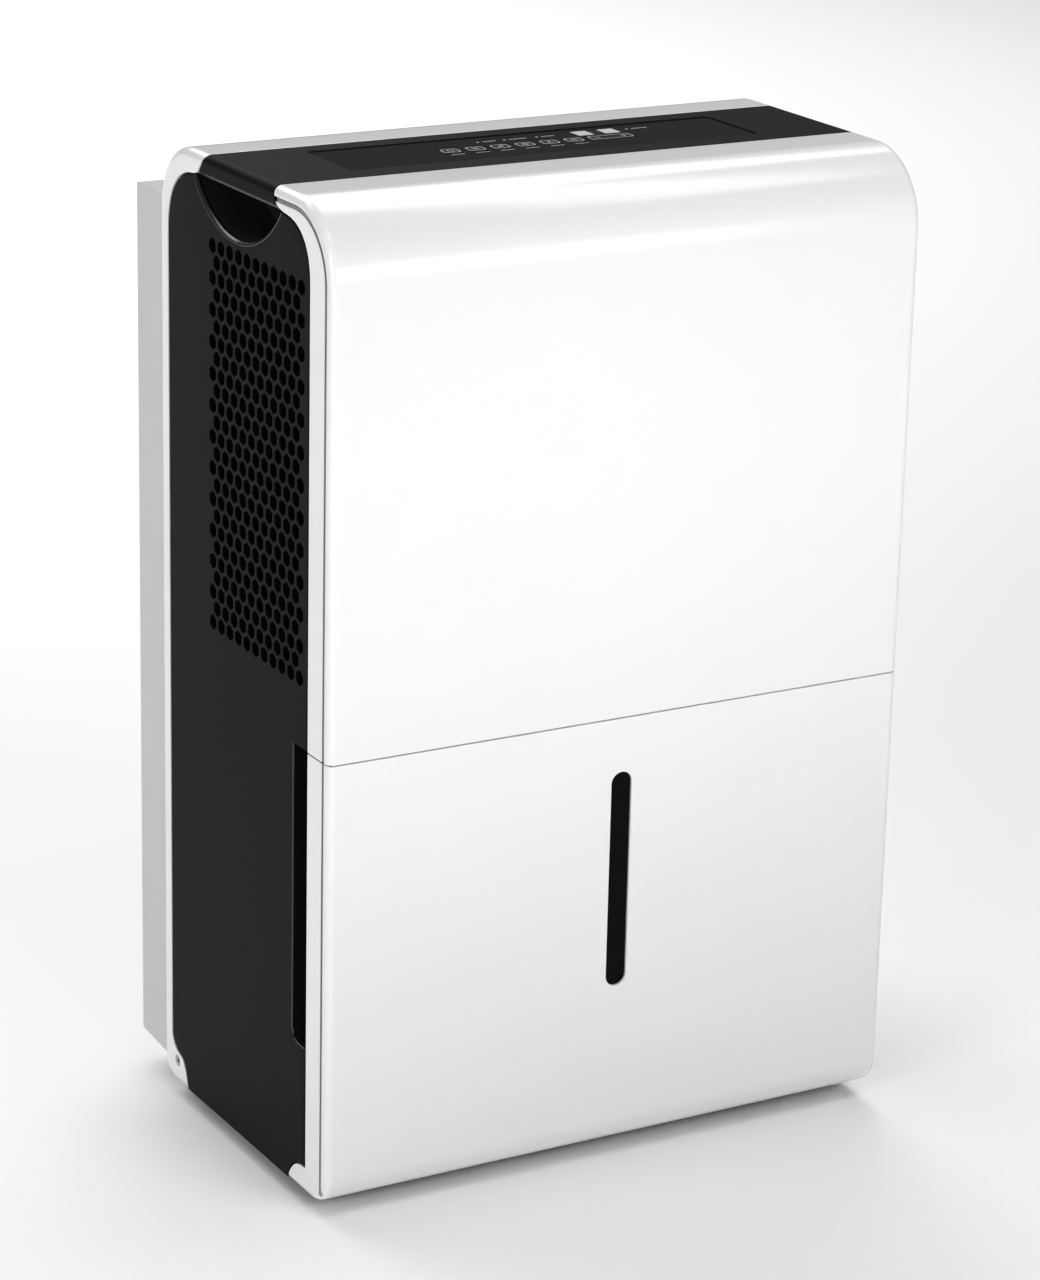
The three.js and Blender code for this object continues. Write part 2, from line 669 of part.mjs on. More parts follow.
function rearCover() {
  const band = casing(rearRegion(0));
  const outer = prismZ(
    roundedRectangle(-BOX_HALF, BOX_HALF, BODY_DEPTH - SKIN, TOTAL_DEPTH, BOX_RADIUS), BOX_FOOT, BOX_Z1,
  );
  const chamber = box(-BOX_HALF + SKIN, BOX_HALF - SKIN, BACK, TOTAL_DEPTH - SKIN, BOX_FOOT + SKIN, BOX_Z1 - SKIN);
  const front = box(-HALF, HALF, BACK - FAR, BODY_DEPTH - SKIN, 0, HEIGHT);
  const intake = box(-INTAKE_HALF, INTAKE_HALF, TOTAL_DEPTH - FAR / 2, TOTAL_DEPTH + FAR, INTAKE_LOW, INTAKE_HIGH);
  const filterY = TOTAL_DEPTH - GRILLE_DEPTH - FILTER_GAP - FILTER_THICK;
  const slot = box(
    -INTAKE_HALF - FILTER_RIM - SLOT_CLEAR, INTAKE_HALF + FILTER_RIM + SLOT_CLEAR,
    filterY - SLOT_CLEAR, filterY + FILTER_THICK + SLOT_CLEAR, BOX_Z1 - FAR / 2, BOX_Z1 + FAR,
  );
  const drain = rod("x", HALF - FAR, HALF + FAR, [0, FITTING_Y, DRAIN_Z], DRAIN_RADIUS + TOUCH);
  const gland = rod("x", HALF - FAR, HALF + FAR, [0, FITTING_Y, GLAND_Z], GLAND_RADIUS + TOUCH);
  const screws = [-1, 1].map((side) => screwHole(side));
  const pan = box(-HALF + SKIN, HALF - SKIN, BACK - FAR, BACK, 0, PAN_TOP);
  return cut(union(band, cut(outer, front)), chamber, pan, intake, slot, drain, gland, screws);
}

function screwPlace() {
  return [0, BACK - SCREW_BACK, FLOOR_GAP + SCREW_RISE];
}

function screwHole(side) {
  const outer = side < 0 ? [-HALF - FAR, -HALF + FAR / 2] : [HALF - FAR / 2, HALF + FAR];
  return rod("x", outer[0], outer[1], screwPlace(), SCREW_RADIUS + TOUCH, 12);
}

// A pan-head screw that enters the rear cover's toe from the side.
function toeScrew(side) {
  const sunk = HALF - SCREW_SINK;
  const a = side < 0 ? -sunk : sunk - SCREW_LONG;
  const b = side < 0 ? -sunk + SCREW_LONG : sunk;
  const slotX = side < 0 ? [-sunk - 1, -sunk + CROSS_DEEP] : [sunk - CROSS_DEEP, sunk + 1];
  const [, y, z] = screwPlace();
  const cross = [
    box(slotX[0], slotX[1], y - CROSS_LONG, y + CROSS_LONG, z - CROSS_HALF, z + CROSS_HALF),
    box(slotX[0], slotX[1], y - CROSS_HALF, y + CROSS_HALF, z - CROSS_LONG, z + CROSS_LONG),
  ];
  return cut(rod("x", a, b, screwPlace(), SCREW_RADIUS, 12), cross);
}

function intakeGrille() {
  const y0 = TOTAL_DEPTH - GRILLE_DEPTH;
  const half = INTAKE_HALF - TOUCH;
  const low = INTAKE_LOW + TOUCH;
  const high = INTAKE_HIGH - TOUCH;
  const frame = box(-half, half, y0, TOTAL_DEPTH - GRILLE_SINK, low, high);
  const room = box(
    -half + GRILLE_LIP, half - GRILLE_LIP, y0 - 1, TOTAL_DEPTH + 1, low + GRILLE_LIP, high - GRILLE_LIP,
  );
  const pitch = (high - low - 2 * GRILLE_LIP) / (SLATS + 1);
  const slats = [];
  for (let i = 1; i <= SLATS; i += 1) {
    const z = low + GRILLE_LIP + i * pitch;
    const shape = new THREE.Shape();
    shape.moveTo(y0, z + 1 - SLAT_HEIGHT / 2);
    shape.lineTo(TOTAL_DEPTH - GRILLE_SINK, z - 1 - SLAT_HEIGHT / 2);
    shape.lineTo(TOTAL_DEPTH - GRILLE_SINK, z - 1 + SLAT_HEIGHT / 2);
    shape.lineTo(y0, z + 1 + SLAT_HEIGHT / 2);
    slats.push(prismX(shape, -half + 1, half - 1));
  }
  const third = half / 3;
  const rib = GRILLE_RIB / 2;
  const ribs = [-third, third].map((x) => box(x - rib, x + rib, y0, y0 + 2.5, low + 1, high - 1));
  return union(cut(frame, room), slats, ribs);
}

function airFilter() {
  const y0 = TOTAL_DEPTH - GRILLE_DEPTH - FILTER_GAP - FILTER_THICK;
  const y1 = y0 + FILTER_THICK;
  const half = INTAKE_HALF + FILTER_RIM;
  const low = INTAKE_LOW - FILTER_RIM;
  const high = BOX_Z1 - 0.5;
  const frame = box(-half, half, y0, y1, low, high);
  const middle = (y0 + y1) / 2;
  const pane = (x0, x1) => [
    box(x0, x1, y0 - 1, middle - FILTER_NET / 2, low + FILTER_RIM, INTAKE_HIGH),
    box(x0, x1, middle + FILTER_NET / 2, y1 + 1, low + FILTER_RIM, INTAKE_HIGH),
  ];
  const tab = box(-FILTER_TAB, FILTER_TAB, y0 + 1, y1 - 1, high - 1, high + TAB_RISE);
  return union(cut(frame, pane(-half + FILTER_RIM, -FILTER_BAR), pane(FILTER_BAR, half - FILTER_RIM)), tab);
}

// ---------- control panel ----------
const fasciaTop = HEIGHT - FASCIA_SINK;
const fasciaLow = fasciaTop - FASCIA_THICK;
const lipTop = HEIGHT - SKIN - TOUCH;

// drop is the room over a key's flange: a rocker's ends rise as it tilts.
function keyPlaces() {
  const keys = BUTTON_NAMES.map((name, i) => {
    return { x: BUTTON_FIRST + i * BUTTON_PITCH, wide: BUTTON_WIDE, drop: BUTTON_CLEAR };
  });
  keys.push({ x: ROCKER_X, wide: ROCKER_WIDE, drop: ROCKER_DROP });
  return keys;
}

function controlFascia() {
  const plate = box(-FASCIA_HALF, FASCIA_HALF, FASCIA_FRONT, FASCIA_REAR, fasciaLow, fasciaTop);
  const lip = box(
    -FASCIA_HALF - FASCIA_LIP, FASCIA_HALF + FASCIA_LIP, FASCIA_FRONT - FASCIA_LIP, FASCIA_REAR + FASCIA_LIP,
    fasciaLow, lipTop,
  );
  const holes = keyPlaces().map(({ x, wide }) => {
    const w = wide / 2 + BUTTON_CLEAR;
    const d = BUTTON_DEEP / 2 + BUTTON_CLEAR;
    const outline = roundedRectangle(x - w, x + w, BUTTON_ROW - d, BUTTON_ROW + d, BUTTON_ROUND);
    return prismZ(outline, fasciaLow - 1, fasciaTop + 1, CHAMFERED);
  });
  const display = box(
    DISPLAY_X - DISPLAY_WIDE / 2 - TOUCH, DISPLAY_X + DISPLAY_WIDE / 2 + TOUCH,
    DISPLAY_ROW - DISPLAY_DEEP / 2 - TOUCH, DISPLAY_ROW + DISPLAY_DEEP / 2 + TOUCH,
    fasciaTop - DISPLAY_SEAT, fasciaTop + 1,
  );
  return cut(union(plate, lip), holes, display);
}

function displayWindow() {
  return box(
    DISPLAY_X - DISPLAY_WIDE / 2, DISPLAY_X + DISPLAY_WIDE / 2,
    DISPLAY_ROW - DISPLAY_DEEP / 2, DISPLAY_ROW + DISPLAY_DEEP / 2,
    fasciaTop - DISPLAY_SEAT + TOUCH, fasciaTop - 0.1,
  );
}

// A key cap with a flange that keeps it under the fascia.
function keyCap({ x, wide, drop }) {
  const top = fasciaTop + BUTTON_PROUD;
  const w = wide / 2;
  const d = BUTTON_DEEP / 2;
  const outline = roundedRectangle(x - w, x + w, BUTTON_ROW - d, BUTTON_ROW + d, BUTTON_ROUND - TOUCH);
  const cap = prismZ(outline, top - BUTTON_TALL, top, CHAMFERED);
  const flange = box(
    x - w - BUTTON_FLANGE, x + w + BUTTON_FLANGE, BUTTON_ROW - d - BUTTON_FLANGE, BUTTON_ROW + d + BUTTON_FLANGE,
    top - BUTTON_TALL, fasciaLow - drop,
  );
  return union(cap, flange);
}

function controlBoard() {
  const top = HEIGHT - BOARD_DROP;
  const sheet = box(-BOARD_HALF, BOARD_HALF, FASCIA_FRONT + 8, FASCIA_REAR - 6, top - BOARD_THICK, top);
  const domes = keyPlaces().map(({ x }) => rod("z", top - 1, top + BOARD_THICK, [x, BUTTON_ROW, 0], DOME_RADIUS, 8));
  const digits = box(
    DISPLAY_X - DISPLAY_WIDE / 2 + DIGITS_RIM, DISPLAY_X + DISPLAY_WIDE / 2 - DIGITS_RIM,
    DISPLAY_ROW - 6, DISPLAY_ROW + 6, top - 1, fasciaLow - 1,
  );
  return union(sheet, domes, digits);
}

// ---------- bucket ----------
function bucketFront() {
  const shell = casing(bucketRegion(0));
  const half = WINDOW_WIDE / 2;
  const slot = prismY(roundedRectangle(-half, half, WINDOW_LOW, WINDOW_HIGH, half - 0.1), -FAR, FAR / 2);
  // Behind the band only the two toes run on, outside the base pan.
  const behind = box(-HALF + SKIN, HALF - SKIN, FRONT_BAND, BODY_DEPTH, 0, PART_LINE);
  return cut(shell, slot, behind);
}

function bucketWindow() {
  const r = WINDOW_WIDE / 2 - 0.1;
  const wide = WINDOW_WIDE / 2 - TOUCH;
  const inner = roundedRectangle(-wide, wide, WINDOW_LOW + TOUCH, WINDOW_HIGH - TOUCH, r - TOUCH);
  const outer = roundedRectangle(
    -wide - WINDOW_LIP, wide + WINDOW_LIP, WINDOW_LOW - WINDOW_LIP, WINDOW_HIGH + WINDOW_LIP - 1,
    r + WINDOW_LIP - 0.5,
  );
  const pane = prismY(inner, WINDOW_SINK, SKIN + 3 * TOUCH);
  const lip = prismY(outer, SKIN + TOUCH, WINDOW_BACK);
  return union(pane, lip);
}

const tubFoot = PAN_TOP + BUCKET_TRAVEL_CLEAR;
const bailZ = BUCKET_TOP + LID_THICK + EAR_RISE;

// The tub narrows a little towards its foot, so its walls lean.
function tubBody(inset, foot, top) {
  const half = BUCKET_SIDE - inset;
  const shape = new THREE.Shape();
  shape.moveTo(-half + BUCKET_TAPER, foot);
  shape.lineTo(half - BUCKET_TAPER, foot);
  shape.lineTo(half, foot + TAPER_RISE);
  shape.lineTo(half, top);
  shape.lineTo(-half, top);
  shape.lineTo(-half, foot + TAPER_RISE);
  return prismY(shape, BUCKET_FRONT + inset, BUCKET_REAR - inset);
}

function bucketTub() {
  const body = tubBody(0, tubFoot, BUCKET_TOP);
  const room = tubBody(SKIN, tubFoot + SKIN, BUCKET_TOP + FAR);
  const ears = [-1, 1].map((side) => {
    const x = side * (BUCKET_SIDE - SKIN / 2);
    const half = EAR_THICK / 2;
    const ear = union(
      box(x - half, x + half, EAR_Y - EAR_HALF, EAR_Y + EAR_HALF, BUCKET_TOP - EAR_ROOT, bailZ),
      rod("x", x - half, x + half, [0, EAR_Y, bailZ], EAR_HALF, 16),
    );
    return cut(ear, rod("x", x - EAR_THICK, x + EAR_THICK, [0, EAR_Y, bailZ], PIVOT_RADIUS + PIVOT_CLEAR, 16));
  });
  const { y, z } = floatPivot();
  const bracket = box(
    FLOAT_X - BRACKET_HALF, FLOAT_X + BRACKET_HALF, y - BRACKET_HALF, BUCKET_REAR - 1, z - 10, z + 12,
  );
  const pivot = rod("x", FLOAT_X - 2 * BRACKET_HALF, FLOAT_X + 2 * BRACKET_HALF, [0, y, z], FLOAT_PIN, 12);
  return union(cut(body, room), ears, bracket, pivot);
}

function bucketLid() {
  const side = BUCKET_SIDE - SKIN - LID_RIM;
  const z0 = BUCKET_TOP + TOUCH;
  const front = BUCKET_FRONT + SKIN + 1;
  const rear = BUCKET_REAR - SKIN - 1;
  const plate = box(-side, side, BUCKET_FRONT, BUCKET_REAR, z0, z0 + LID_THICK - TOUCH);
  const spigot = box(-side + LID_RIM, side - LID_RIM, front, rear, z0 - LID_SKIRT, z0 + 1);
  const inside = box(
    -side + 2 * LID_RIM, side - 2 * LID_RIM, front + LID_RIM, rear - LID_RIM, z0 - LID_SKIRT - 1, z0,
  );
  const drip = box(
    SPOUT_X - DRIP_HALF, SPOUT_X + DRIP_HALF, SPOUT_Y - DRIP_FRONT, SPOUT_Y + DRIP_REAR, z0 - 2 * LID_SKIRT, z0 + FAR,
  );
  const pour = prismZ(circle(side - POUR_INSET, EAR_Y, POUR_RADIUS), z0 - 2 * LID_SKIRT, z0 + FAR);
  return cut(union(plate, cut(spigot, inside)), drip, pour);
}

// A bail that folds forward onto the lid.
function bucketHandle() {
  const x = BUCKET_SIDE - SKIN / 2 - EAR_THICK / 2 - TOUCH - BAIL_RADIUS;
  const front = EAR_Y - BAIL_REACH;
  const wide = BAIL_RADIUS - BAIL_FLAT;
  const tall = BAIL_RADIUS - 0.5;
  const bar = rod("x", -x, x, [0, front, bailZ], BAIL_RADIUS, 12);
  const arms = [-1, 1].map((side) => {
    const arm = box(side * x - wide, side * x + wide, front, EAR_Y, bailZ - tall, bailZ + tall);
    const eye = rod("x", side * x - wide, side * x + wide, [0, EAR_Y, bailZ], BAIL_RADIUS + 1, 12);
    const a = side < 0 ? -BUCKET_SIDE : x;
    const pin = rod("x", a, a + BUCKET_SIDE - x, [0, EAR_Y, bailZ], PIVOT_RADIUS, 12);
    return [arm, eye, pin];
  });
  const grip = rod("x", -GRIP_HALF, GRIP_HALF, [0, front, bailZ], BAIL_RADIUS + GRIP_SKIN, 12);
  return union(bar, arms.flat(), grip);
}

function floatPivot() {
  return { y: BUCKET_REAR - SKIN - FLOAT_BACK, z: BUCKET_TOP - FLOAT_DROP };
}

// A hollow block on two cheeks, which turns about the bracket's pin.
function bucketFloat() {
  const { y, z } = floatPivot();
  const cheeks = [-1, 1].map((side) => {
    const near = BRACKET_HALF + TOUCH + 0.2;
    const a = side < 0 ? FLOAT_X - near - FLOAT_CHEEK : FLOAT_X + near;
    const cheek = union(
      rod("x", a, a + FLOAT_CHEEK, [0, y, z], 1.5 * FLOAT_CHEEK, 12),
      box(a, a + FLOAT_CHEEK, y - FLOAT_ARM, y, z - FLOAT_CHEEK, z + FLOAT_CHEEK),
    );
    return cut(cheek, rod("x", a - 1, a + FLOAT_CHEEK + 1, [0, y, z], FLOAT_PIN + TOUCH, 12));
  });
  const rear = y - FLOAT_ARM + 2;
  const top = z + FLOAT_CHEEK;
  const outline = roundedRectangle(rear - FLOAT_DEEP, rear, top - FLOAT_TALL, top, 4);
  const block = prismX(outline, FLOAT_X - FLOAT_WIDE / 2, FLOAT_X + FLOAT_WIDE / 2, CHAMFERED);
  return union(block, cheeks);
}

// ---------- base pan, partition and deck ----------
function casterPlaces() {
  return [
    { name: "front_left", x: -CASTER_X, y: CASTER_FRONT_Y },
    { name: "front_right", x: CASTER_X, y: CASTER_FRONT_Y },
    { name: "rear_left", x: -CASTER_X, y: CASTER_REAR_Y },
    { name: "rear_right", x: CASTER_X, y: CASTER_REAR_Y },
  ];
}

function basePan() {
  const half = HALF - PANEL - TOUCH;
  const front = FRONT_BAND + SEAM;
  const rear = BACK - SEAM;
  const step = BAY_WALL_Y + SKIN;
  const outer = union(
    box(-half, half, front, step, FLOOR_GAP, PAN_TOP),
    box(-half, half, step - 1, rear, FLOOR_GAP, PAN_REAR_FLOOR),
  );
  const inner = union(
    box(-half + PAN_SKIN, half - PAN_SKIN, front + PAN_SKIN, step - PAN_SKIN, 0, PAN_TOP - PAN_SKIN),
    box(-half + PAN_SKIN, half - PAN_SKIN, step, rear - PAN_SKIN, 0, PAN_REAR_FLOOR - PAN_SKIN),
  );
  const housings = [];
  const rooms = [];
  const bosses = [];
  for (const { x, y } of casterPlaces()) {
    if (y > step) {
      const near = Math.min(y + CASTER_ROOM, rear);
      housings.push(box(x - CASTER_ROOM, x + CASTER_ROOM, y - CASTER_ROOM, near, FLOOR_GAP + 2, PAN_TOP));
      rooms.push(
        box(x - CASTER_ROOM + PAN_SKIN, x + CASTER_ROOM - PAN_SKIN, y - CASTER_ROOM + PAN_SKIN, near - PAN_SKIN,
          0, PAN_TOP - PAN_SKIN),
      );
    }
    const boss = rod("z", PAN_TOP - PAN_SKIN - BOSS_TALL, PAN_TOP - 1, [x, y, 0], STEM_RADIUS + BOSS_SKIN, 16);
    const bore = rod("z", 0, PAN_TOP - PAN_SKIN, [x, y, 0], STEM_RADIUS + STEM_CLEAR, 16);
    bosses.push(cut(boss, bore));
  }
  const screws = [-1, 1].map((side) => screwHole(side));
  return cut(union(cut(union(outer, housings), inner, rooms), bosses), screws);
}

function casterFork({ x, y }) {
  const wheelY = y + CASTER_TRAIL;
  const cheekX = WHEEL_WIDE / 2 + FORK_CLEAR;
  const crown = WHEEL_RADIUS * 2 + CROWN_CLEAR;
  const disc = rod("z", crown, crown + FORK_SKIN, [x, y, 0], FORK_DISC, 14);
  const cheeks = [-1, 1].map((side) => {
    const shape = new THREE.Shape();
    shape.moveTo(wheelY - 5, WHEEL_RADIUS - 5);
    shape.lineTo(wheelY + 5, WHEEL_RADIUS - 5);
    shape.lineTo(wheelY + 6, WHEEL_RADIUS + 2);
    shape.lineTo(y + 10, crown + 1);
    shape.lineTo(y - 8, crown + 1);
    const a = side < 0 ? x - cheekX - FORK_SKIN : x + cheekX;
    return prismX(shape, a, a + FORK_SKIN);
  });
  const axle = rod("x", x - cheekX - 1, x + cheekX + 1, [0, wheelY, WHEEL_RADIUS], AXLE_RADIUS, 8);
  const stem = rod("z", crown + 1, PAN_TOP - PAN_SKIN - TOUCH, [x, y, 0], STEM_RADIUS, 10);
  return union(disc, cheeks, axle, stem);
}

function casterWheel({ x, y }) {
  const sides = 18;
  const tread = WHEEL_RADIUS / Math.cos(Math.PI / sides);
  const centre = [0, y + CASTER_TRAIL, WHEEL_RADIUS];
  const half = WHEEL_WIDE / 2;
  const bore = rod("x", x - FAR, x + FAR, centre, AXLE_RADIUS + STEM_CLEAR, 10);
  return cut(rod("x", x - half, x + half, centre, tread, sides), bore);
}

function bayWall() {
  const half = SIDE_INNER - GROOVE_DEPTH;
  return box(-half, half, BAY_WALL_Y, BAY_WALL_Y + SKIN, PAN_TOP + TOUCH, DECK_LOW - TOUCH);
}

// Deck over the bucket bay, which is also the drip tray under both coils.
function dripDeck() {
  const half = SIDE_INNER - 2;
  const top = DECK_LOW + DECK_RIM;
  const outer = union(
    box(-half, half, DECK_FRONT, TRAY_START, DECK_LOW, top),
    box(-TRAY_HALF, TRAY_HALF, TRAY_START - 1, TRAY_END, DECK_LOW, top),
  );
  const inner = union(
    box(-half + SKIN, half - SKIN, DECK_FRONT + SKIN, TRAY_START - SKIN, DECK_LOW + SKIN, top + 1),
    box(-TRAY_HALF + SKIN, TRAY_HALF - SKIN, TRAY_START - SKIN - 1, TRAY_END - SKIN, DECK_LOW + SKIN, top + 1),
  );
  const spout = rod("z", DECK_LOW - SPOUT_LONG, DECK_LOW + 1, [SPOUT_X, SPOUT_Y, 0], SPOUT_RADIUS, 16);
  const bore = rod("z", DECK_LOW - FAR, DECK_LOW + FAR, [SPOUT_X, SPOUT_Y, 0], SPOUT_RADIUS - SPOUT_SKIN, 16);
  const drain = rod("z", DECK_LOW - 1, DECK_LOW + FAR, [...drainPlace(), 0], TRAY_DRAIN_RADIUS, 12);
  return cut(union(cut(outer, inner), spout), bore, drain);
}

function floatSensor() {
  const { y } = floatPivot();
  const rear = y + 1.5;
  return box(
    FLOAT_X - SENSOR_HALF, FLOAT_X + SENSOR_HALF, rear - SENSOR_DEEP, rear, DECK_LOW - SENSOR_TALL, DECK_LOW - TOUCH,
  );
}

// ---------- fan ----------
function scrollOutline(grow) {
  const radius = SCROLL_RADIUS + grow;
  const shape = new THREE.Shape();
  shape.moveTo(-SIDE_INNER - (grow ? 0 : FAR), FAN_Z - radius);
  shape.lineTo(FAN_X, FAN_Z - radius);
  shape.absarc(FAN_X, FAN_Z, radius, -Math.PI / 2, Math.PI / 2);
  shape.lineTo(-SIDE_INNER - (grow ? 0 : FAR), FAN_Z + radius);
  return shape;
}

function fanScroll() {
  const arc = { bevelEnabled: false, curveSegments: 8 };
  const outer = prismY(scrollOutline(SCROLL_SKIN), SCROLL_FRONT, SCROLL_REAR, arc);
  const inner = prismY(scrollOutline(0), SCROLL_FRONT + SCROLL_SKIN, SCROLL_REAR + FAR, arc);
  const eye = rod("y", SCROLL_FRONT - 1, SCROLL_FRONT + FAR, [FAN_X, 0, FAN_Z], SHAFT_RADIUS + EYE_CLEAR);
  const low = DECK_LOW + SKIN + TOUCH;
  const feet = [FAN_X - SCROLL_STANCE, FAN_X].map((x) => {
    return box(x - SCROLL_FOOT, x, SCROLL_FRONT + 5, SCROLL_REAR - 5, low, FAN_Z - SCROLL_RADIUS - SCROLL_SKIN / 2);
  });
  return cut(union(outer, feet), inner, eye);
}

function inletPlate() {
  const y0 = SCROLL_REAR + TOUCH;
  const plate = prismY(scrollOutline(SCROLL_SKIN), y0, y0 + SCROLL_SKIN, { bevelEnabled: false, curveSegments: 8 });
  const bell = rod("y", y0 - BELL_LONG, y0 + 1, [FAN_X, 0, FAN_Z], INLET_RADIUS + SCROLL_SKIN, 24);
  const mouth = rod("y", y0 - FAR, y0 + FAR, [FAN_X, 0, FAN_Z], INLET_RADIUS, 24);
  return cut(union(plate, bell), mouth);
}

function fanWheel() {
  const centre = [FAN_X, 0, FAN_Z];
  const disc = rod("y", FAN_FRONT, FAN_FRONT + DISC_THICK, centre, WHEEL_FAN_RADIUS, 48);
  const ringOuter = rod("y", FAN_REAR - RIM_LONG, FAN_REAR, centre, WHEEL_FAN_RADIUS, 48);
  const ringInner = rod("y", FAN_REAR - FAR, FAN_REAR + FAR, centre, WHEEL_FAN_RADIUS - RIM_WIDE, 48);
  const hub = rod("y", FAN_FRONT + 1, FAN_FRONT + HUB_LONG, centre, HUB_RADIUS, 20, HUB_RADIUS - HUB_TAPER);
  const bore = rod("y", FAN_FRONT - FAR, FAN_FRONT + HUB_LONG - HUB_TAPER, centre, SHAFT_RADIUS + TOUCH, 16);
  const blades = [];
  for (let i = 0; i < BLADES; i += 1) blades.push(fanBlade((2 * Math.PI * i) / BLADES));
  return cut(union(disc, cut(ringOuter, ringInner), blades, hub), bore);
}

function fanBlade(turn) {
  const steps = 2;
  const front = [];
  const back = [];
  for (let i = 0; i <= steps; i += 1) {
    const share = i / steps;
    const radius = WHEEL_FAN_RADIUS - 1 - BLADE_CHORD * (1 - share);
    const angle = turn + BLADE_SWEEP * share * share;
    const side = BLADE_THICK / 2 / radius;
    front.push([radius, angle + side]);
    back.unshift([radius, angle - side]);
  }
  const shape = new THREE.Shape(
    [...front, ...back].map(([r, a]) => new THREE.Vector2(FAN_X + r * Math.cos(a), FAN_Z + r * Math.sin(a))),
  );
  return prismY(shape, FAN_FRONT + 1, FAN_REAR - 1);
}

function fanShaft() {
  return rod("y", MOTOR_FRONT + 6, FAN_FRONT + HUB_LONG - 6, [FAN_X, 0, FAN_Z], SHAFT_RADIUS, 16);
}

function fanMotor() {
  const back = SCROLL_FRONT - SKIN - 2 * TOUCH;
  const can = rod("y", MOTOR_FRONT, back, [FAN_X, 0, FAN_Z], MOTOR_RADIUS, 24);
  const nose = rod("y", back - 1, SCROLL_FRONT - TOUCH, [FAN_X, 0, FAN_Z], NOSE_RADIUS, 16);
  const bore = rod("y", MOTOR_FRONT + 5, FAN_FRONT, [FAN_X, 0, FAN_Z], SHAFT_RADIUS + 2 * TOUCH, 16);
  return cut(union(can, nose), bore);
}

// Three-armed plate that carries the motor on the scroll.
function motorBracket() {
  const y1 = SCROLL_FRONT - TOUCH;
  const arms = [0, 1, 2].map((i) => {
    const angle = Math.PI / 2 + (i * 2 * Math.PI) / 3;
    const reach = MOTOR_RADIUS + BRACKET_REACH;
    const u = new THREE.Vector2(Math.cos(angle), Math.sin(angle));
    const n = new THREE.Vector2(-u.y, u.x).multiplyScalar(BRACKET_ARM);
    const at = (r, s) => new THREE.Vector2(FAN_X + u.x * r + n.x * s, FAN_Z + u.y * r + n.y * s);
    const root = BRACKET_RING - 6;
    return prismY(new THREE.Shape([at(root, -1), at(reach, -1), at(reach, 1), at(root, 1)]), y1 - SKIN, y1);
  });
  const ring = rod("y", y1 - SKIN, y1, [FAN_X, 0, FAN_Z], BRACKET_RING, 24);
  const hole = rod("y", y1 - FAR, y1 + FAR, [FAN_X, 0, FAN_Z], NOSE_RADIUS + 1, 24);
  return cut(union(ring, arms), hole);
}

function runCapacitor() {
  const centre = [CAPACITOR_X, SCROLL_FRONT - CAPACITOR_RADIUS - 10 * TOUCH, FAN_Z + CAPACITOR_RISE];
  return rod("z", -CAPACITOR_HALF, CAPACITOR_HALF, centre, CAPACITOR_RADIUS, 16);
}

// ---------- refrigeration ----------
// A finned block with return bends at both ends.
function coil(y0) {
  const y1 = y0 + COIL_THICK;
  const middle = (y0 + y1) / 2;
  const core = box(-COIL_HALF, COIL_HALF, y0, y1, COIL_FOOT, COIL_HEAD);
  const grooves = [];
  const count = Math.floor((2 * COIL_HALF - 2 * FIN_PITCH) / FIN_PITCH);
  for (let i = 0; i <= count; i += 1) {
    const x = -COIL_HALF + FIN_PITCH + i * FIN_PITCH;
    grooves.push(box(x, x + FIN_GAP, y0 - 1, y0 + FIN_CUT, COIL_FOOT - 1, COIL_HEAD + 1));
    grooves.push(box(x, x + FIN_GAP, y1 - FIN_CUT, y1 + 1, COIL_FOOT - 1, COIL_HEAD + 1));
  }
  const pitch = (COIL_HEAD - COIL_FOOT) / (COIL_PASSES * 2);
  const bends = [];
  for (const side of [-1, 1]) {
    for (let i = 0; i < COIL_PASSES; i += 1) {
      const z = COIL_FOOT + pitch * (2 * i + (side < 0 ? 0.5 : 1.5));
      if (z + pitch < COIL_HEAD) bends.push(returnBend(side, middle, z, pitch));
    }
  }
  return union(cut(core, grooves), bends);
}

function returnBend(side, y, z, pitch) {
  const x = side * (COIL_HALF - 2);
  const out = side * (COIL_HALF + TUBE_OUT);
  const turn = [out + side * pitch * 0.35, y, z + pitch / 2];
  const points = [[x, y, z], [out, y, z], turn, [out, y, z + pitch], [x, y, z + pitch]];
  return tube(points, TUBE_RADIUS, 7, 2);
}

function compressor() {
  const r = COMPRESSOR_RADIUS;
  const top = COMPRESSOR_TALL;
  const profile = [
    [0, 8], [r * 0.62, 8], [r * 0.9, 16], [r, 34], [r, top - 40], [r * 0.93, top - 20], [r * 0.7, top - 6], [0, top],
  ].map(([x, y]) => new THREE.Vector2(x, y));
  const shell = new THREE.LatheGeometry(profile, 22);
  shell.rotateX(Math.PI / 2);
  shell.translate(COMPRESSOR_X, COMPRESSOR_Y, COMPRESSOR_FOOT);
  const corners = mountPlaces().map(([x, y]) => new THREE.Vector2(x, y));
  const plateTop = COMPRESSOR_FOOT + PLATE_THICK;
  const plate = prismZ(new THREE.Shape(corners), COMPRESSOR_FOOT, plateTop);
  const pads = mountPlaces().map((place) => rod("z", COMPRESSOR_FOOT, plateTop, [...place, 0], MOUNT_RADIUS + 3, 12));
  const neck = rod("z", COMPRESSOR_FOOT + 1, COMPRESSOR_FOOT + 14, [COMPRESSOR_X, COMPRESSOR_Y, 0], r * 0.55, 20);
  const terminals = box(
    COMPRESSOR_X - r - 8, COMPRESSOR_X - r + 8, COMPRESSOR_Y - 20, COMPRESSOR_Y + 20,
    COMPRESSOR_FOOT + top * 0.4, COMPRESSOR_FOOT + top * 0.68,
  );
  return union(solid(shell), plate, pads, neck, terminals);
}

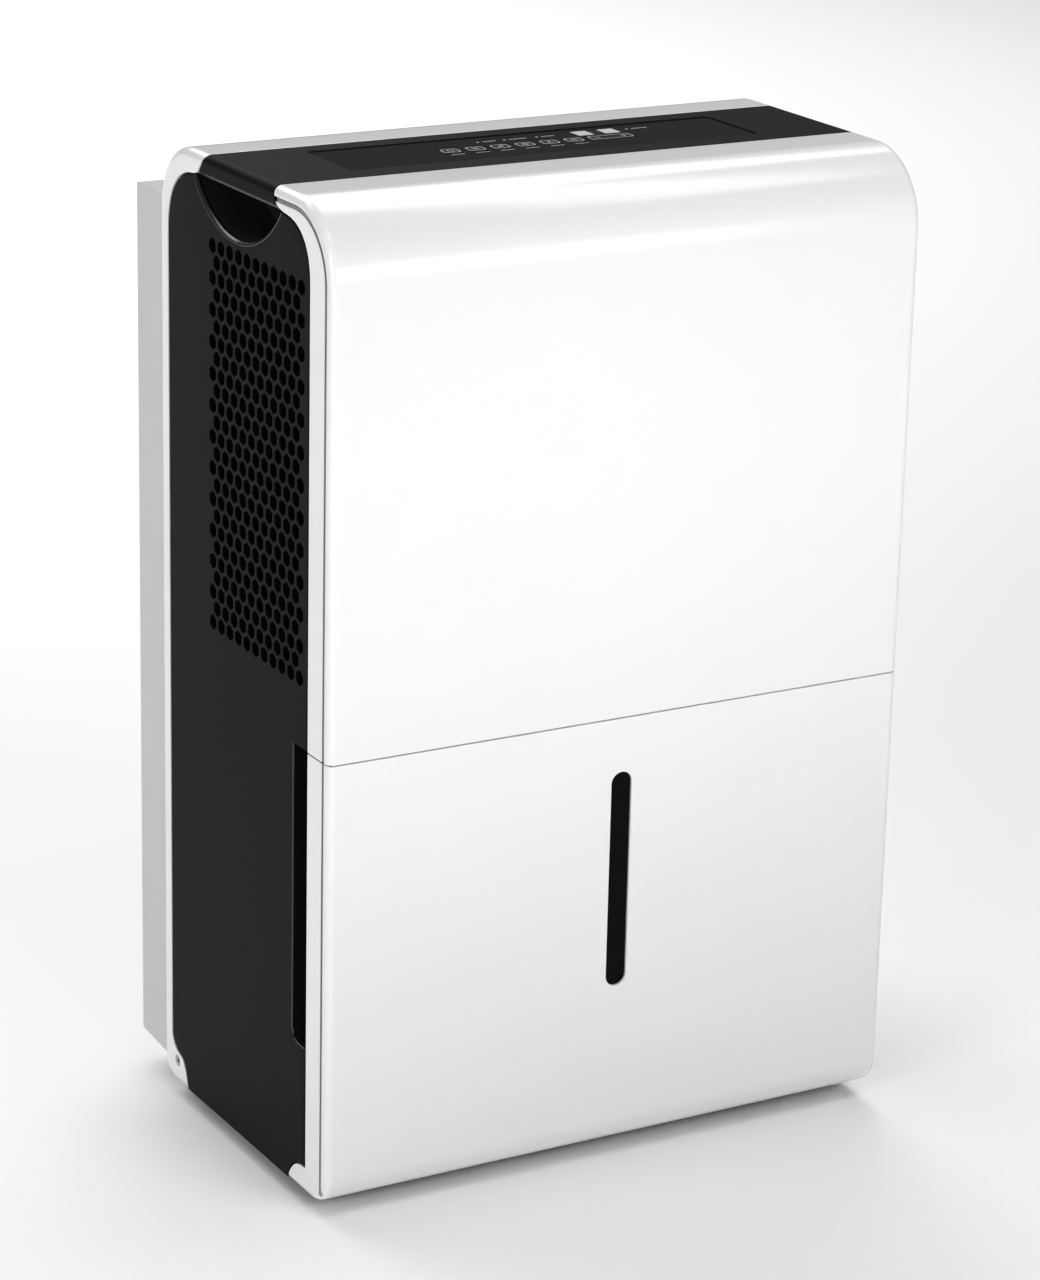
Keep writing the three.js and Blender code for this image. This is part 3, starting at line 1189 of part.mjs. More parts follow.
function mountPlaces() {
  return [0, 1, 2].map((i) => {
    const angle = -Math.PI / 2 + (i * 2 * Math.PI) / 3 + Math.PI;
    return [COMPRESSOR_X + MOUNT_CIRCLE * Math.cos(angle), COMPRESSOR_Y + MOUNT_CIRCLE * Math.sin(angle) * 0.8];
  });
}

function compressorMount([x, y]) {
  const z0 = PAN_REAR_FLOOR + TOUCH;
  const low = rod("z", z0, z0 + MOUNT_TALL, [x, y, 0], MOUNT_RADIUS, 14, MOUNT_RADIUS - 2);
  return cut(low, rod("z", z0 - 1, z0 + 4, [x, y, 0], 3, 10));
}

function pipes() {
  const top = COMPRESSOR_FOOT + COMPRESSOR_TALL;
  const x = COMPRESSOR_X;
  const y = COMPRESSOR_Y;
  const evaporatorY = EVAPORATOR_Y + COIL_THICK / 2;
  const condenserY = CONDENSER_Y + COIL_THICK / 2;
  const end = COIL_HALF + TOUCH;
  const rise = TRAY_HALF + 12; // pipes climb beside the tray
  const low = COIL_FOOT + PIPE_HIGH;
  const high = COIL_HEAD - PIPE_HIGH;
  return {
    suction_pipe: tube(
      [
        [x + 14, y + 6, top + 1], [x + 14, y + 8, top + 30], [x + 50, y + 30, top + 52],
        [rise - 20, evaporatorY, top + 60], [rise, evaporatorY, top + 84], [rise, evaporatorY, COIL_FOOT - 4],
        [rise - 8, evaporatorY, low - 1.5], [end, evaporatorY, low],
      ],
      TUBE_RADIUS, 26, 2,
    ),
    discharge_pipe: tube(
      [
        [x - 14, y - 10, top + 1], [x - 14, y - 10, top + 22], [x + 30, y - 12, top + 40],
        [rise - 24, condenserY - 2, top + 44], [rise, condenserY, top + 70], [rise, condenserY, COIL_FOOT - 4],
        [rise - 8, condenserY, low - 1.5], [end, condenserY, low],
      ],
      TUBE_RADIUS - 1, 26, 2,
    ),
    capillary_tube: tube(
      [
        [end, condenserY, high], [end + 14, condenserY, high], [end + 26, condenserY + 6, high - 22],
        [end + 26, condenserY + 15, high - 62], [end + 26, evaporatorY - 4, high - 32],
        [end + 16, evaporatorY, high - 1], [end, evaporatorY, high],
      ],
      CAPILLARY_RADIUS, 24, 2,
    ),
  };
}

function humiditySensor() {
  return box(-COIL_HALF - 26, -COIL_HALF - 14, SCROLL_REAR + 14, SCROLL_REAR + 20, COIL_HEAD - 40, COIL_HEAD - 16);
}

// ---------- rear fittings ----------
function drainOutlet() {
  const centre = [0, FITTING_Y, DRAIN_Z];
  const wall = BOX_HALF - SKIN - TOUCH;
  const body = rod("x", BOX_HALF - FITTING_LONG, BOX_HALF + OUTLET_PROUD, centre, DRAIN_RADIUS, 20);
  const flange = rod("x", wall - 3, wall, centre, DRAIN_RADIUS + OUTLET_FLANGE, 20);
  const bore = rod("x", BOX_HALF - FAR, HALF + FAR, centre, DRAIN_RADIUS - OUTLET_WALL, 20);
  return cut(union(body, flange), bore);
}

function drainCap() {
  const face = BOX_HALF + OUTLET_PROUD + TOUCH;
  const centre = [0, FITTING_Y, DRAIN_Z];
  const disc = rod("x", face, face + CAP_THICK, centre, CAP_RADIUS, 24);
  const plug = rod("x", face - PLUG_LONG, face + 1, centre, DRAIN_RADIUS - OUTLET_WALL - PLUG_CLEAR, 20);
  return union(disc, plug);
}

function drainPlace() {
  return [TRAY_HALF - TRAY_DRAIN, TRAY_END - TRAY_DRAIN_BACK];
}

function drainTube() {
  const [x, y] = drainPlace();
  const z = DECK_LOW - 7;
  const end = BOX_HALF - FITTING_LONG - TOUCH;
  return tube(
    [
      [x, y, DECK_LOW - TOUCH], [x, y, DECK_LOW - 4], [x + 8, y + 8, z], [end - 12, FITTING_Y, DRAIN_Z],
      [end, FITTING_Y, DRAIN_Z],
    ],
    HOSE_RADIUS, 14, 2,
  );
}

function cordGland() {
  const centre = [0, FITTING_Y, GLAND_Z];
  const body = rod("x", BOX_HALF - FITTING_LONG, BOX_HALF + GLAND_PROUD, centre, GLAND_RADIUS, 20);
  const rim = rod("x", BOX_HALF + TOUCH, BOX_HALF + GLAND_RIM, centre, GLAND_RADIUS + GLAND_RIM, 20);
  const bore = rod("x", BOX_HALF - FAR, HALF + FAR, centre, GLAND_BORE, 16);
  return cut(union(body, rim), bore);
}

// ---------- assembly ----------
const casings = group(product);
addPiece(casings, "front_cover", frontCover(), WHITE);
addPiece(casings, "rear_cover", rearCover(), WHITE);
addPiece(casings, "top_panel", topPanel(), BLACK);
addPiece(casings, "left_side_panel", leftSidePanel(), BLACK);
addPiece(casings, "right_side_panel", sidePanel(1), BLACK);
addPiece(casings, "left_handle_pocket", handlePocket(-1), BLACK);
addPiece(casings, "right_handle_pocket", handlePocket(1), BLACK);
addPiece(casings, "intake_grille", intakeGrille(), DARK_GREY);
addPiece(casings, "air_filter", airFilter(), GREY);
addPiece(casings, "left_toe_screw", toeScrew(-1), STEEL);
addPiece(casings, "right_toe_screw", toeScrew(1), STEEL);
addPiece(casings, "drain_outlet", drainOutlet(), GREY);
addPiece(casings, "drain_cap", drainCap(), RUBBER);
addPiece(casings, "drain_tube", drainTube(), PALE_CLEAR);
addPiece(casings, "cord_gland", cordGland(), RUBBER);

const controls = group(product);
addPiece(controls, "control_fascia", controlFascia(), GLOSS_BLACK);
addPiece(controls, "display_window", displayWindow(), CLEAR);
addPiece(controls, "control_board", controlBoard(), CIRCUIT);
keyPlaces().forEach((place, i) => {
  const name = i < BUTTON_NAMES.length ? BUTTON_NAMES[i] + "_button" : "humidity_rocker";
  addPiece(controls, name, keyCap(place), KEY);
});

const bucket = group(product);
addPiece(bucket, "bucket_front", bucketFront(), WHITE);
addPiece(bucket, "bucket_window", bucketWindow(), CLEAR);
addPiece(bucket, "bucket_tub", bucketTub(), TUB);
addPiece(bucket, "bucket_lid", bucketLid(), TUB);
addPiece(bucket, "bucket_handle", bucketHandle(), DARK_GREY);
addPiece(bucket, "bucket_float", bucketFloat(), WHITE);

const base = group(product);
addPiece(base, "base_pan", basePan(), GREY);
addPiece(base, "bay_wall", bayWall(), GREY);
addPiece(base, "drip_deck", dripDeck(), GREY);
addPiece(base, "float_sensor", floatSensor(), DARK_GREY);
for (const place of casterPlaces()) {
  addPiece(base, place.name + "_caster_fork", casterFork(place), DARK_GREY);
  addPiece(base, place.name + "_caster_wheel", casterWheel(place), RUBBER);
}

const airflow = group(product);
addPiece(airflow, "fan_scroll", fanScroll(), GREY);
addPiece(airflow, "inlet_plate", inletPlate(), GREY);
addPiece(airflow, "fan_wheel", fanWheel(), DARK_GREY);
addPiece(airflow, "fan_shaft", fanShaft(), STEEL);
addPiece(airflow, "fan_motor", fanMotor(), STEEL);
addPiece(airflow, "motor_bracket", motorBracket(), STEEL);
addPiece(airflow, "run_capacitor", runCapacitor(), ALUMINIUM);
addPiece(airflow, "humidity_sensor", humiditySensor(), DARK_GREY);

const refrigeration = group(product);
addPiece(refrigeration, "evaporator", coil(EVAPORATOR_Y), ALUMINIUM);
addPiece(refrigeration, "condenser", coil(CONDENSER_Y), ALUMINIUM);
addPiece(refrigeration, "compressor", compressor(), PAINTED);
mountPlaces().forEach((place, i) => {
  addPiece(refrigeration, "compressor_mount_" + (i + 1), compressorMount(place), RUBBER);
});
for (const [name, piece] of Object.entries(pipes())) addPiece(refrigeration, name, piece, COPPER);

export default product;
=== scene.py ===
"""Looks of a portable dehumidifier: finely rounded casings, keys, bucket, casters and coils in
moulded plastics and metals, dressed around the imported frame. Sizes are millimetres, with y measured
back from the front face and z up from the floor; a finished piece is turned to metres in the
frame's own place."""

from __future__ import annotations

import json
import logging
import math
from dataclasses import dataclass, field
from enum import Enum
from typing import Callable, Iterable, Sequence

import bmesh
import bpy
from mathutils import Matrix, Vector
from mathutils.geometry import interpolate_bezier

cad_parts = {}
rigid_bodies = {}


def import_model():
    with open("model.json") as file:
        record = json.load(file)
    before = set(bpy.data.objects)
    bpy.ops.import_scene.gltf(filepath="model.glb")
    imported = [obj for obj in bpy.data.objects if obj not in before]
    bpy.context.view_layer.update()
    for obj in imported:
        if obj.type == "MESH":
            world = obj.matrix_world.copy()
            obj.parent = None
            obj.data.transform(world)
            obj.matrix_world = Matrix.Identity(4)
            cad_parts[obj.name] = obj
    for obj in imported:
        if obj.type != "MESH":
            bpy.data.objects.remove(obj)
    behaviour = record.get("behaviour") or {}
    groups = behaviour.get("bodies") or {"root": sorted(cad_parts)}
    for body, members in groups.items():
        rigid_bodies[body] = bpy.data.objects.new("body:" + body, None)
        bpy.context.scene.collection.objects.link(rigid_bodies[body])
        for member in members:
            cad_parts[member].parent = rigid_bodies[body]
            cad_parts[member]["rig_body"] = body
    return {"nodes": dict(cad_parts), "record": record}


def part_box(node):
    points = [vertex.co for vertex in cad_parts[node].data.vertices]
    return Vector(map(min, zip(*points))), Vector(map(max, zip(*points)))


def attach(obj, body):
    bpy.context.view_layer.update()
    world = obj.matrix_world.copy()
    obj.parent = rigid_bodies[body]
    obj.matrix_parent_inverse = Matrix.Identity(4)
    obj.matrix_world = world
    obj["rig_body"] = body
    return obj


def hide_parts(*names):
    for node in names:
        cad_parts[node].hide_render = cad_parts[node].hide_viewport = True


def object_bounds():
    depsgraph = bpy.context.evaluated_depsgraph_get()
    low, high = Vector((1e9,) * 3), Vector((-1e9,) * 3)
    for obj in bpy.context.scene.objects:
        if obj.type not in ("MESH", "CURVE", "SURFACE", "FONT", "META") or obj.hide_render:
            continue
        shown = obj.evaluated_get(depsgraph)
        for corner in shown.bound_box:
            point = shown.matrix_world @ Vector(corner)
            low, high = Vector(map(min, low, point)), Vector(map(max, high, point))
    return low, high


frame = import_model()
CAD_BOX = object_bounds()
LOG = logging.getLogger("dehumidifier")
MM = 0.001
FIT = 0.3  # gap round a piece that sits in another
CRISP_ANGLE = 34.0  # edges that turn more than this, in degrees, stay crisp
Mesh = bmesh.types.BMesh
Point = Sequence[float]  # a place in space, or u and v on an outline
Span = tuple[float, float]  # lowest and highest place on an axis
Stop = tuple[float, float, float]  # a corner of an outline: u, v and its rounding


# ---------- named options ----------
class Axis(Enum):
    """Direction in which an outline is carried, with the turn that brings it there."""

    X = Matrix(((0, 0, 1, 0), (1, 0, 0, 0), (0, 1, 0, 0), (0, 0, 0, 1)))
    Y = Matrix(((1, 0, 0, 0), (0, 0, 1, 0), (0, 1, 0, 0), (0, 0, 0, 1)))
    Z = Matrix(((1, 0, 0, 0), (0, 1, 0, 0), (0, 0, 1, 0), (0, 0, 0, 1)))


class Join(Enum):
    """How one solid acts on another."""

    ADD = "UNION"
    CUT = "DIFFERENCE"
    KEEP = "INTERSECT"


class Side(Enum):
    """Left or right of the casing, as seen from the front."""

    LEFT = -1
    RIGHT = 1

    @property
    def label(self) -> str:
        """The side's name at the start of a node's name."""
        return self.name.lower()

    def span(self, one: float, other: float) -> Span:
        """Two distances from the middle, on this side, in rising order."""
        low, high = sorted((self.value * one, self.value * other))
        return low, high


# ---------- modelling ----------
def curve(start: Point, lean: Point, catch: Point, end: Point) -> list[Stop]:
    """Points of a smooth bend after its start.

    Args:
        start: First point, u and v.
        lean: Handle of the first point.
        catch: Handle of the last point.
        end: Last point.

    Returns:
        The stops, without rounding.
    """
    places = [Vector((u, v, 0)) for u, v in (start, lean, catch, end)]
    return sharp(*(p.to_2d() for p in interpolate_bezier(*places, 12)[1:]))


def sharp(*corners: Point) -> list[Stop]:
    """Stops without rounding."""
    return [(u, v, 0.0) for u, v in corners]


def prism(stops: Sequence[Stop], axis: Axis, start: float, end: float, segments: int = 10) -> Mesh:
    """A closed solid from an outline carried along an axis.

    Args:
        stops: Corners of the outline, each with its rounding.
        axis: Direction of travel: X takes (y, z), Y takes (x, z) and Z takes (x, y).
        start: Where it starts on that axis.
        end: Where it ends.
        segments: Steps in each rounded corner.

    Returns:
        The solid, in millimetres.
    """
    bm = bmesh.new()
    verts = [bm.verts.new((u, v, start)) for u, v, _ in stops]
    bm.faces.new(verts)
    for vert, (_, _, radius) in zip(verts, stops):
        if radius > 0:
            bmesh.ops.bevel(bm, geom=[vert], offset=radius, offset_type="OFFSET", segments=segments,
                            profile=0.5, affect="VERTICES", clamp_overlap=False, material=-1)
    grown = bmesh.ops.extrude_face_region(bm, geom=bm.faces[:])
    moved = [item for item in grown["geom"] if isinstance(item, bmesh.types.BMVert)]
    bmesh.ops.translate(bm, verts=moved, vec=(0, 0, end - start))
    bmesh.ops.transform(bm, matrix=axis.value, verts=bm.verts)
    bmesh.ops.recalc_face_normals(bm, faces=bm.faces)
    return bm


def block(low: Point, high: Point) -> Mesh:
    """A plain block between two corners, for joining and cutting."""
    bm = bmesh.new()
    bmesh.ops.create_cube(bm, size=1)
    size = Vector(high) - Vector(low)
    bmesh.ops.scale(bm, verts=bm.verts, vec=size)
    bmesh.ops.translate(bm, verts=bm.verts, vec=Vector(low) + size / 2)
    return bm


def soft_block(low: Point, high: Point, radius: float, segments: int = 4) -> Mesh:
    """A block with all its edges rounded."""
    bm = block(low, high)
    round_edges(bm, bm.edges[:], radius, segments)
    return bm


def rectangle(u0: float, u1: float, v0: float, v1: float, radius: float) -> list[Stop]:
    """Stops of a rectangle with rounded corners."""
    return [(u0, v0, radius), (u1, v0, radius), (u1, v1, radius), (u0, v1, radius)]


def disc(u: float, v: float, radius: float, sides: int = 48) -> list[Stop]:
    """Stops of a circle."""
    turns = [2 * math.pi * (i + 0.5) / sides for i in range(sides)]
    return [(u + radius * math.cos(t), v + radius * math.sin(t), 0.0) for t in turns]


def turned(profile: Sequence[Point], axis: Axis, centre: Point, sides: int = 48) -> Mesh:
    """A turned solid.

    Args:
        profile: Radius and place along the axis, end to end, closed on itself or on the axis.
        axis: The axis it turns about.
        centre: Point on the axis from which places are measured.
        sides: Steps in the full turn.

    Returns:
        The solid, with its poles merged.
    """
    bm = bmesh.new()
    verts = [bm.verts.new((radius, 0, along)) for radius, along in profile]
    edges = [bm.edges.new(pair) for pair in zip(verts, verts[1:])]
    if profile[0][0] > 0:
        edges.append(bm.edges.new((verts[-1], verts[0])))
    bmesh.ops.spin(bm, geom=verts + edges, cent=(0, 0, 0), axis=(0, 0, 1), angle=2 * math.pi,
                   steps=sides, use_merge=True, use_duplicate=False)
    bmesh.ops.remove_doubles(bm, verts=bm.verts, dist=0.001)
    bmesh.ops.recalc_face_normals(bm, faces=bm.faces)
    bmesh.ops.transform(bm, matrix=axis.value, verts=bm.verts)
    bmesh.ops.translate(bm, verts=bm.verts, vec=centre)
    bmesh.ops.recalc_face_normals(bm, faces=bm.faces)
    return bm


def mirrored(profile: Sequence[Point]) -> list[Point]:
    """One half of a turned solid's profile, followed by its mirror image."""
    return [*profile, *((radius, -along) for radius, along in reversed(profile))]


def rod(axis: Axis, span: Span, centre: Point, radius: float, sides: int = 32,
        rim: float = 0.0) -> Mesh:
    """A round bar along an axis, with its rims rounded by rim."""
    start, end = span
    side: list[Point] = [(radius, start), (radius, end)]
    if rim > 0:
        lead = rim * 0.3  # how far the middle of the rounding lies inside the corner
        side = [(radius - rim, start), (radius - lead, start + lead), (radius, start + rim),
                (radius, end - rim), (radius - lead, end - lead), (radius - rim, end)]
    return turned([(0.0, start), *side, (0.0, end)], axis, centre, sides)


def elbow(axis: Point, start: Point, centre: Point, radius: float, turn: float, sides: int,
          steps: int) -> Mesh:
    """A bent round bar that starts out along X.

    Args:
        axis: Direction that it bends about.
        start: Middle of its first end.
        centre: Centre of the bend.
        radius: Radius of the bar.
        turn: Angle of the bend, in radians.
        sides: Steps round the bar.
        steps: Steps along the bend.

    Returns:
        The solid.
    """
    bm = bmesh.new()
    bmesh.ops.create_circle(bm, cap_ends=True, radius=radius, segments=sides,
                            matrix=Matrix.Rotation(math.pi / 2, 4, "Y"))
    bmesh.ops.translate(bm, verts=bm.verts, vec=start)
    bmesh.ops.spin(bm, geom=bm.verts[:] + bm.edges[:] + bm.faces[:], cent=centre, axis=axis,
                   angle=turn, steps=steps, use_duplicate=False)
    bmesh.ops.recalc_face_normals(bm, faces=bm.faces)
    return bm


def round_edges(bm: Mesh, edges: Iterable[bmesh.types.BMEdge], radius: float, segments: int = 4,
                clamp: bool = True) -> None:
    """Rounds edges of a solid, held back where roundings would meet if clamp is set."""
    bmesh.ops.bevel(bm, geom=list(edges), offset=radius, offset_type="OFFSET", segments=segments,
                    profile=0.5, affect="EDGES", clamp_overlap=clamp, material=-1)


def merge(*parts: Mesh) -> Mesh:
    """One mesh that holds several solids side by side. The parts are used up."""
    whole = bmesh.new()
    for part in parts:
        carrier = bpy.data.meshes.new("carrier")
        part.to_mesh(carrier)
        part.free()
        whole.from_mesh(carrier)
        bpy.data.meshes.remove(carrier)
    return whole


def combine(base: Mesh, join: Join, *tools: Mesh) -> Mesh:
    """Joins solids to a base, or cuts them from it. All of them are used up.

    Args:
        base: The solid to work on.
        join: Whether to add, cut or keep what they share.
        tools: The other solids.

    Returns:
        The result.
    """
    target = loose_object("base", base)
    helpers = [loose_object("tool", tool) for tool in tools]
    for helper in helpers:
        modifier = target.modifiers.new("join", "BOOLEAN")
        modifier.object = helper
        modifier.operation = join.value
        modifier.solver = "EXACT"
    bpy.context.view_layer.update()
    shaped = target.evaluated_get(bpy.context.evaluated_depsgraph_get())
    made = bpy.data.meshes.new_from_object(shaped)
    result = bmesh.new()
    result.from_mesh(made)
    for item in [target, *helpers]:
        used = item.data
        bpy.data.objects.remove(item)
        bpy.data.meshes.remove(used)
    bpy.data.meshes.remove(made)
    bmesh.ops.remove_doubles(result, verts=result.verts, dist=0.002)
    return result


def loose_object(name: str, bm: Mesh) -> bpy.types.Object:
    """An object that holds a mesh as it is, while solids are being joined."""
    mesh = bpy.data.meshes.new(name)
    bm.to_mesh(mesh)
    bm.free()
    made = bpy.data.objects.new(name, mesh)
    bpy.context.scene.collection.objects.link(made)
    return made


def soften(bm: Mesh, radius: float, angle: float = 40.0,
           where: Callable[[Vector], bool] = lambda _: True) -> None:
    """Takes the sharpness off the edges of a moulding.

    Args:
        bm: The solid.
        radius: Rounding of each edge.
        angle: Edges that turn less than this, in degrees, are left as they are.
        where: Tells whether an edge with this middle is rounded.
    """
    bmesh.ops.dissolve_limit(bm, angle_limit=math.radians(0.4), verts=bm.verts, edges=bm.edges)
    bmesh.ops.triangulate(bm, faces=bm.faces)
    limit = math.radians(angle)
    edges = [
        edge for edge in bm.edges
        if edge.is_manifold and edge.calc_face_angle(0) > limit
        and where((edge.verts[0].co + edge.verts[1].co) / 2)
    ]
    round_edges(bm, edges, radius, 2, False)
    bmesh.ops.remove_doubles(bm, verts=bm.verts, dist=0.005)


# ---------- finishes ----------
def linear(code: str) -> tuple[float, float, float, float]:
    """A colour given as an sRGB hex value, in linear light."""
    parts = [int(code[i:i + 2], 16) / 255 for i in (1, 3, 5)]
    bent = [p / 12.92 if p <= 0.04045 else ((p + 0.055) / 1.055) ** 2.4 for p in parts]
    return (bent[0], bent[1], bent[2], 1.0)


def fill(node: bpy.types.Node, settings: dict | None = None, links: dict | None = None) -> None:
    """Sets up a node.

    Args:
        node: The node.
        settings: Properties by name, and socket values by socket name.
        links: Output sockets by the name of the input that they feed.
    """
    for name, value in (settings or {}).items():
        if name in node.inputs:
            node.inputs[name].default_value = value
        else:
            setattr(node, name, value)
    for name, socket in (links or {}).items():
        node.id_data.links.new(socket, node.inputs[name])


def add_node(tree: bpy.types.NodeTree, kind: str, settings: dict | None = None,
             links: dict | None = None) -> bpy.types.Node:
    """Adds a node of a kind to a tree and sets it up, as fill does."""
    node = tree.nodes.new(kind)
    fill(node, settings, links)
    return node


def blend(tree: bpy.types.NodeTree, share: bpy.types.NodeSocket, low: Point,
          high: Point) -> bpy.types.NodeSocket:
    """The mix of two colours by a share from 0 to 1."""
    colour_a, colour_b, colour_out = 6, 7, 2  # the mix node's colour sockets share their names
    mix = add_node(tree, "ShaderNodeMix", {"data_type": "RGBA"}, {"Factor": share})
    mix.inputs[colour_a].default_value = low
    mix.inputs[colour_b].default_value = high
    return mix.outputs[colour_out]


def fresh_material(name: str) -> tuple[bpy.types.Material, bpy.types.Node]:
    """An empty material and its surface shader."""
    material = bpy.data.materials.new(name)
    material.use_nodes = True
    return material, material.node_tree.nodes["Principled BSDF"]


def object_place(tree: bpy.types.NodeTree) -> dict[str, bpy.types.NodeSocket]:
    """Link that lays a texture out in the object's own metres."""
    return {"Vector": add_node(tree, "ShaderNodeTexCoord").outputs["Object"]}


@dataclass(frozen=True)
class Moulding:
    """Injection-moulded plastic: a smooth tint with a fine skin from the mould."""

    name: str
    tint: str
    roughness: float
    grain_mm: float = 0.9
    grain_depth_mm: float = 0.01
    tone: float = 0.03  # how far the tint drifts over a hand's breadth
    roughness_drift: float = 0.04
    coat: float = 0.0
    coat_roughness: float = 0.1
    mirror: float = 0.5  # share of light thrown straight back; 0.5 is what bare plastic does
    drift_mm: float = 90.0

    def build(self) -> bpy.types.Material:
        """Makes the material."""
        material, shader = fresh_material(self.name)
        tree = material.node_tree
        place = object_place(tree)
        drift = add_node(tree, "ShaderNodeTexNoise", {
            "Scale": 1 / (self.drift_mm * MM), "Detail": 2.0}, place).outputs["Fac"]
        grain = add_node(tree, "ShaderNodeTexNoise", {
            "Scale": 1 / (self.grain_mm * MM), "Detail": 3.0, "Roughness": 0.6,
        }, place).outputs["Fac"]
        tint = linear(self.tint)
        paler = tuple(min(1.0, c * (1 + self.tone)) for c in tint[:3]) + (1.0,)
        darker = tuple(c * (1 - self.tone) for c in tint[:3]) + (1.0,)
        gloss = add_node(tree, "ShaderNodeMapRange", {
            "From Min": 0.3, "From Max": 0.7,
            "To Min": max(0.02, self.roughness - self.roughness_drift),
            "To Max": self.roughness + self.roughness_drift,
        }, {"Value": grain})
        bump = add_node(tree, "ShaderNodeBump", {
            "Strength": 1.0, "Distance": self.grain_depth_mm * MM}, {"Height": grain})
        fill(shader, {
            "Specular IOR Level": self.mirror,
            "Coat Weight": self.coat, "Coat Roughness": self.coat_roughness,
        }, {
            "Base Color": blend(tree, drift, darker, paler),
            "Roughness": gloss.outputs["Result"], "Normal": bump.outputs["Normal"],
        })
        return material


@dataclass(frozen=True)
class WovenMesh:
    """Nylon filter net, drawn coarser than the real 0.3 mm weave so that it shows."""

    name: str = "woven_nylon_net"
    thread: str = "#5d6267"
    gap: str = "#24272a"
    spacing_mm: float = 2.0
    relief_mm: float = 0.25

    def build(self) -> bpy.types.Material:
        """Makes the material."""
        material, shader = fresh_material(self.name)
        tree = material.node_tree
        place = object_place(tree)
        net = add_node(tree, "ShaderNodeMath", {"operation": "MAXIMUM"})
        for direction, socket in zip(("X", "Z"), net.inputs):
            wave = add_node(tree, "ShaderNodeTexWave", {
                "wave_type": "BANDS", "bands_direction": direction,
                "Scale": math.pi / 10 / (self.spacing_mm * MM),
            }, place)
            tree.links.new(wave.outputs["Fac"], socket)
        ramp = add_node(tree, "ShaderNodeMapRange", {"From Min": 0.55, "From Max": 0.85},
                        {"Value": net.outputs[0]}).outputs["Result"]
        bump = add_node(tree, "ShaderNodeBump", {"Distance": self.relief_mm * MM},
                        {"Height": ramp})
        fill(shader, {"Roughness": 0.7}, {
            "Base Color": blend(tree, ramp, linear(self.gap), linear(self.thread)),
            "Normal": bump.outputs["Normal"],
        })
        return material


@dataclass(frozen=True)
class DrawnMetal:
    """Bare metal with the fine lines that rolling, drawing or brushing leaves along one axis."""

    name: str
    tint: str
    roughness: float
    line_mm: float = 0.6
    line_depth_mm: float = 0.015
    stretch: tuple[float, float, float] = (1.0, 1.0, 0.06)

    def build(self) -> bpy.types.Material:
        """Makes the material."""
        material, shader = fresh_material(self.name)
        tree = material.node_tree
        drawn = add_node(tree, "ShaderNodeMapping", {"Scale": self.stretch}, object_place(tree))
        lines = add_node(tree, "ShaderNodeTexNoise", {
            "Scale": 1 / (self.line_mm * MM), "Detail": 2.0,
        }, {"Vector": drawn.outputs["Vector"]}).outputs["Fac"]
        gloss = add_node(tree, "ShaderNodeMapRange", {
            "To Min": self.roughness - 0.08, "To Max": self.roughness + 0.12}, {"Value": lines})
        bump = add_node(tree, "ShaderNodeBump", {"Distance": self.line_depth_mm * MM},
                        {"Height": lines})
        fill(shader, {"Base Color": linear(self.tint), "Metallic": 1.0}, {
            "Roughness": gloss.outputs["Result"], "Normal": bump.outputs["Normal"]})
        return material


# One finish for each of the record's material slots. After a moulding's name, tint and roughness
# come its grain, grain depth, drift of tint and of roughness, and what sets it apart.
FINISHES: dict[str, Moulding | DrawnMetal] = {
    # Polished-tool ABS: clean white with a soft sheen that mirrors the studio in broad bands.
    "white_shell": Moulding("glossy_white_abs", "#eaebec", 0.22, 1.4, 0.003, 0.01, 0.03, 0.4, 0.12),
    # Spark-eroded ABS: the fine satin grain swallows most of the light that grazes it.
    "black_panel": Moulding(
        "satin_black_abs", "#111213", 0.42, 0.8, 0.02, 0.10, 0.06, mirror=0.025),
    # Acrylic inlay treated against glare: deeper black than the bar round it.
    "gloss_black": Moulding(
        "anti_glare_black_acrylic", "#050506", 0.16, 3.0, 0.001, 0.05, 0.02, mirror=0.04),
    "key_black": Moulding(
        "smooth_black_key", "#08090a", 0.22, 1.2, 0.003, 0.05, 0.03, mirror=0.05),
    "smoked_window": Moulding(
        "smoked_polycarbonate", "#020303", 0.12, 4.0, 0.001, 0.02, 0.02, mirror=0.06),
    "display_lens": Moulding(
        "tinted_display_lens", "#050607", 0.1, 4.0, 0.001, 0.02, 0.02, mirror=0.1),
    # Natural polypropylene: milky and a little waxy.
    "tub_plastic": Moulding("natural_polypropylene", "#d9dcde", 0.38, 1.6, 0.012, 0.03, 0.06),
    "grey_plastic": Moulding("grey_abs", "#8f9397", 0.5, 0.8, 0.02, 0.05, 0.06),
    "dark_plastic": Moulding("dark_grey_abs", "#232527", 0.48, 0.8, 0.02, 0.08, 0.06),
    "filter_frame": Moulding("filter_frame_grey", "#6d7277", 0.5, 0.8, 0.02, 0.05, 0.06),
    "soft_rubber": Moulding("moulded_black_rubber", "#161617", 0.72, 0.5, 0.04, 0.12, 0.08),
    "clear_hose": Moulding("milky_soft_hose", "#c9cfd3", 0.3, 1.5, 0.01, 0.03, 0.04),
    "copper_tube": DrawnMetal("drawn_copper", "#b8734a", 0.3),
    "coil_fins": DrawnMetal("rolled_aluminium_fin", "#c6cacd", 0.34),
    "plated_steel": DrawnMetal("zinc_plated_steel", "#a9abad", 0.32),
    "compressor_enamel": Moulding(
        "baked_black_enamel", "#101011", 0.34, 2.0, 0.03, 0.08, 0.08, 0.3, 0.15),
    "circuit_board": Moulding("green_laminate", "#1d5a38", 0.4, 0.7, 0.01, 0.08, 0.05),
}
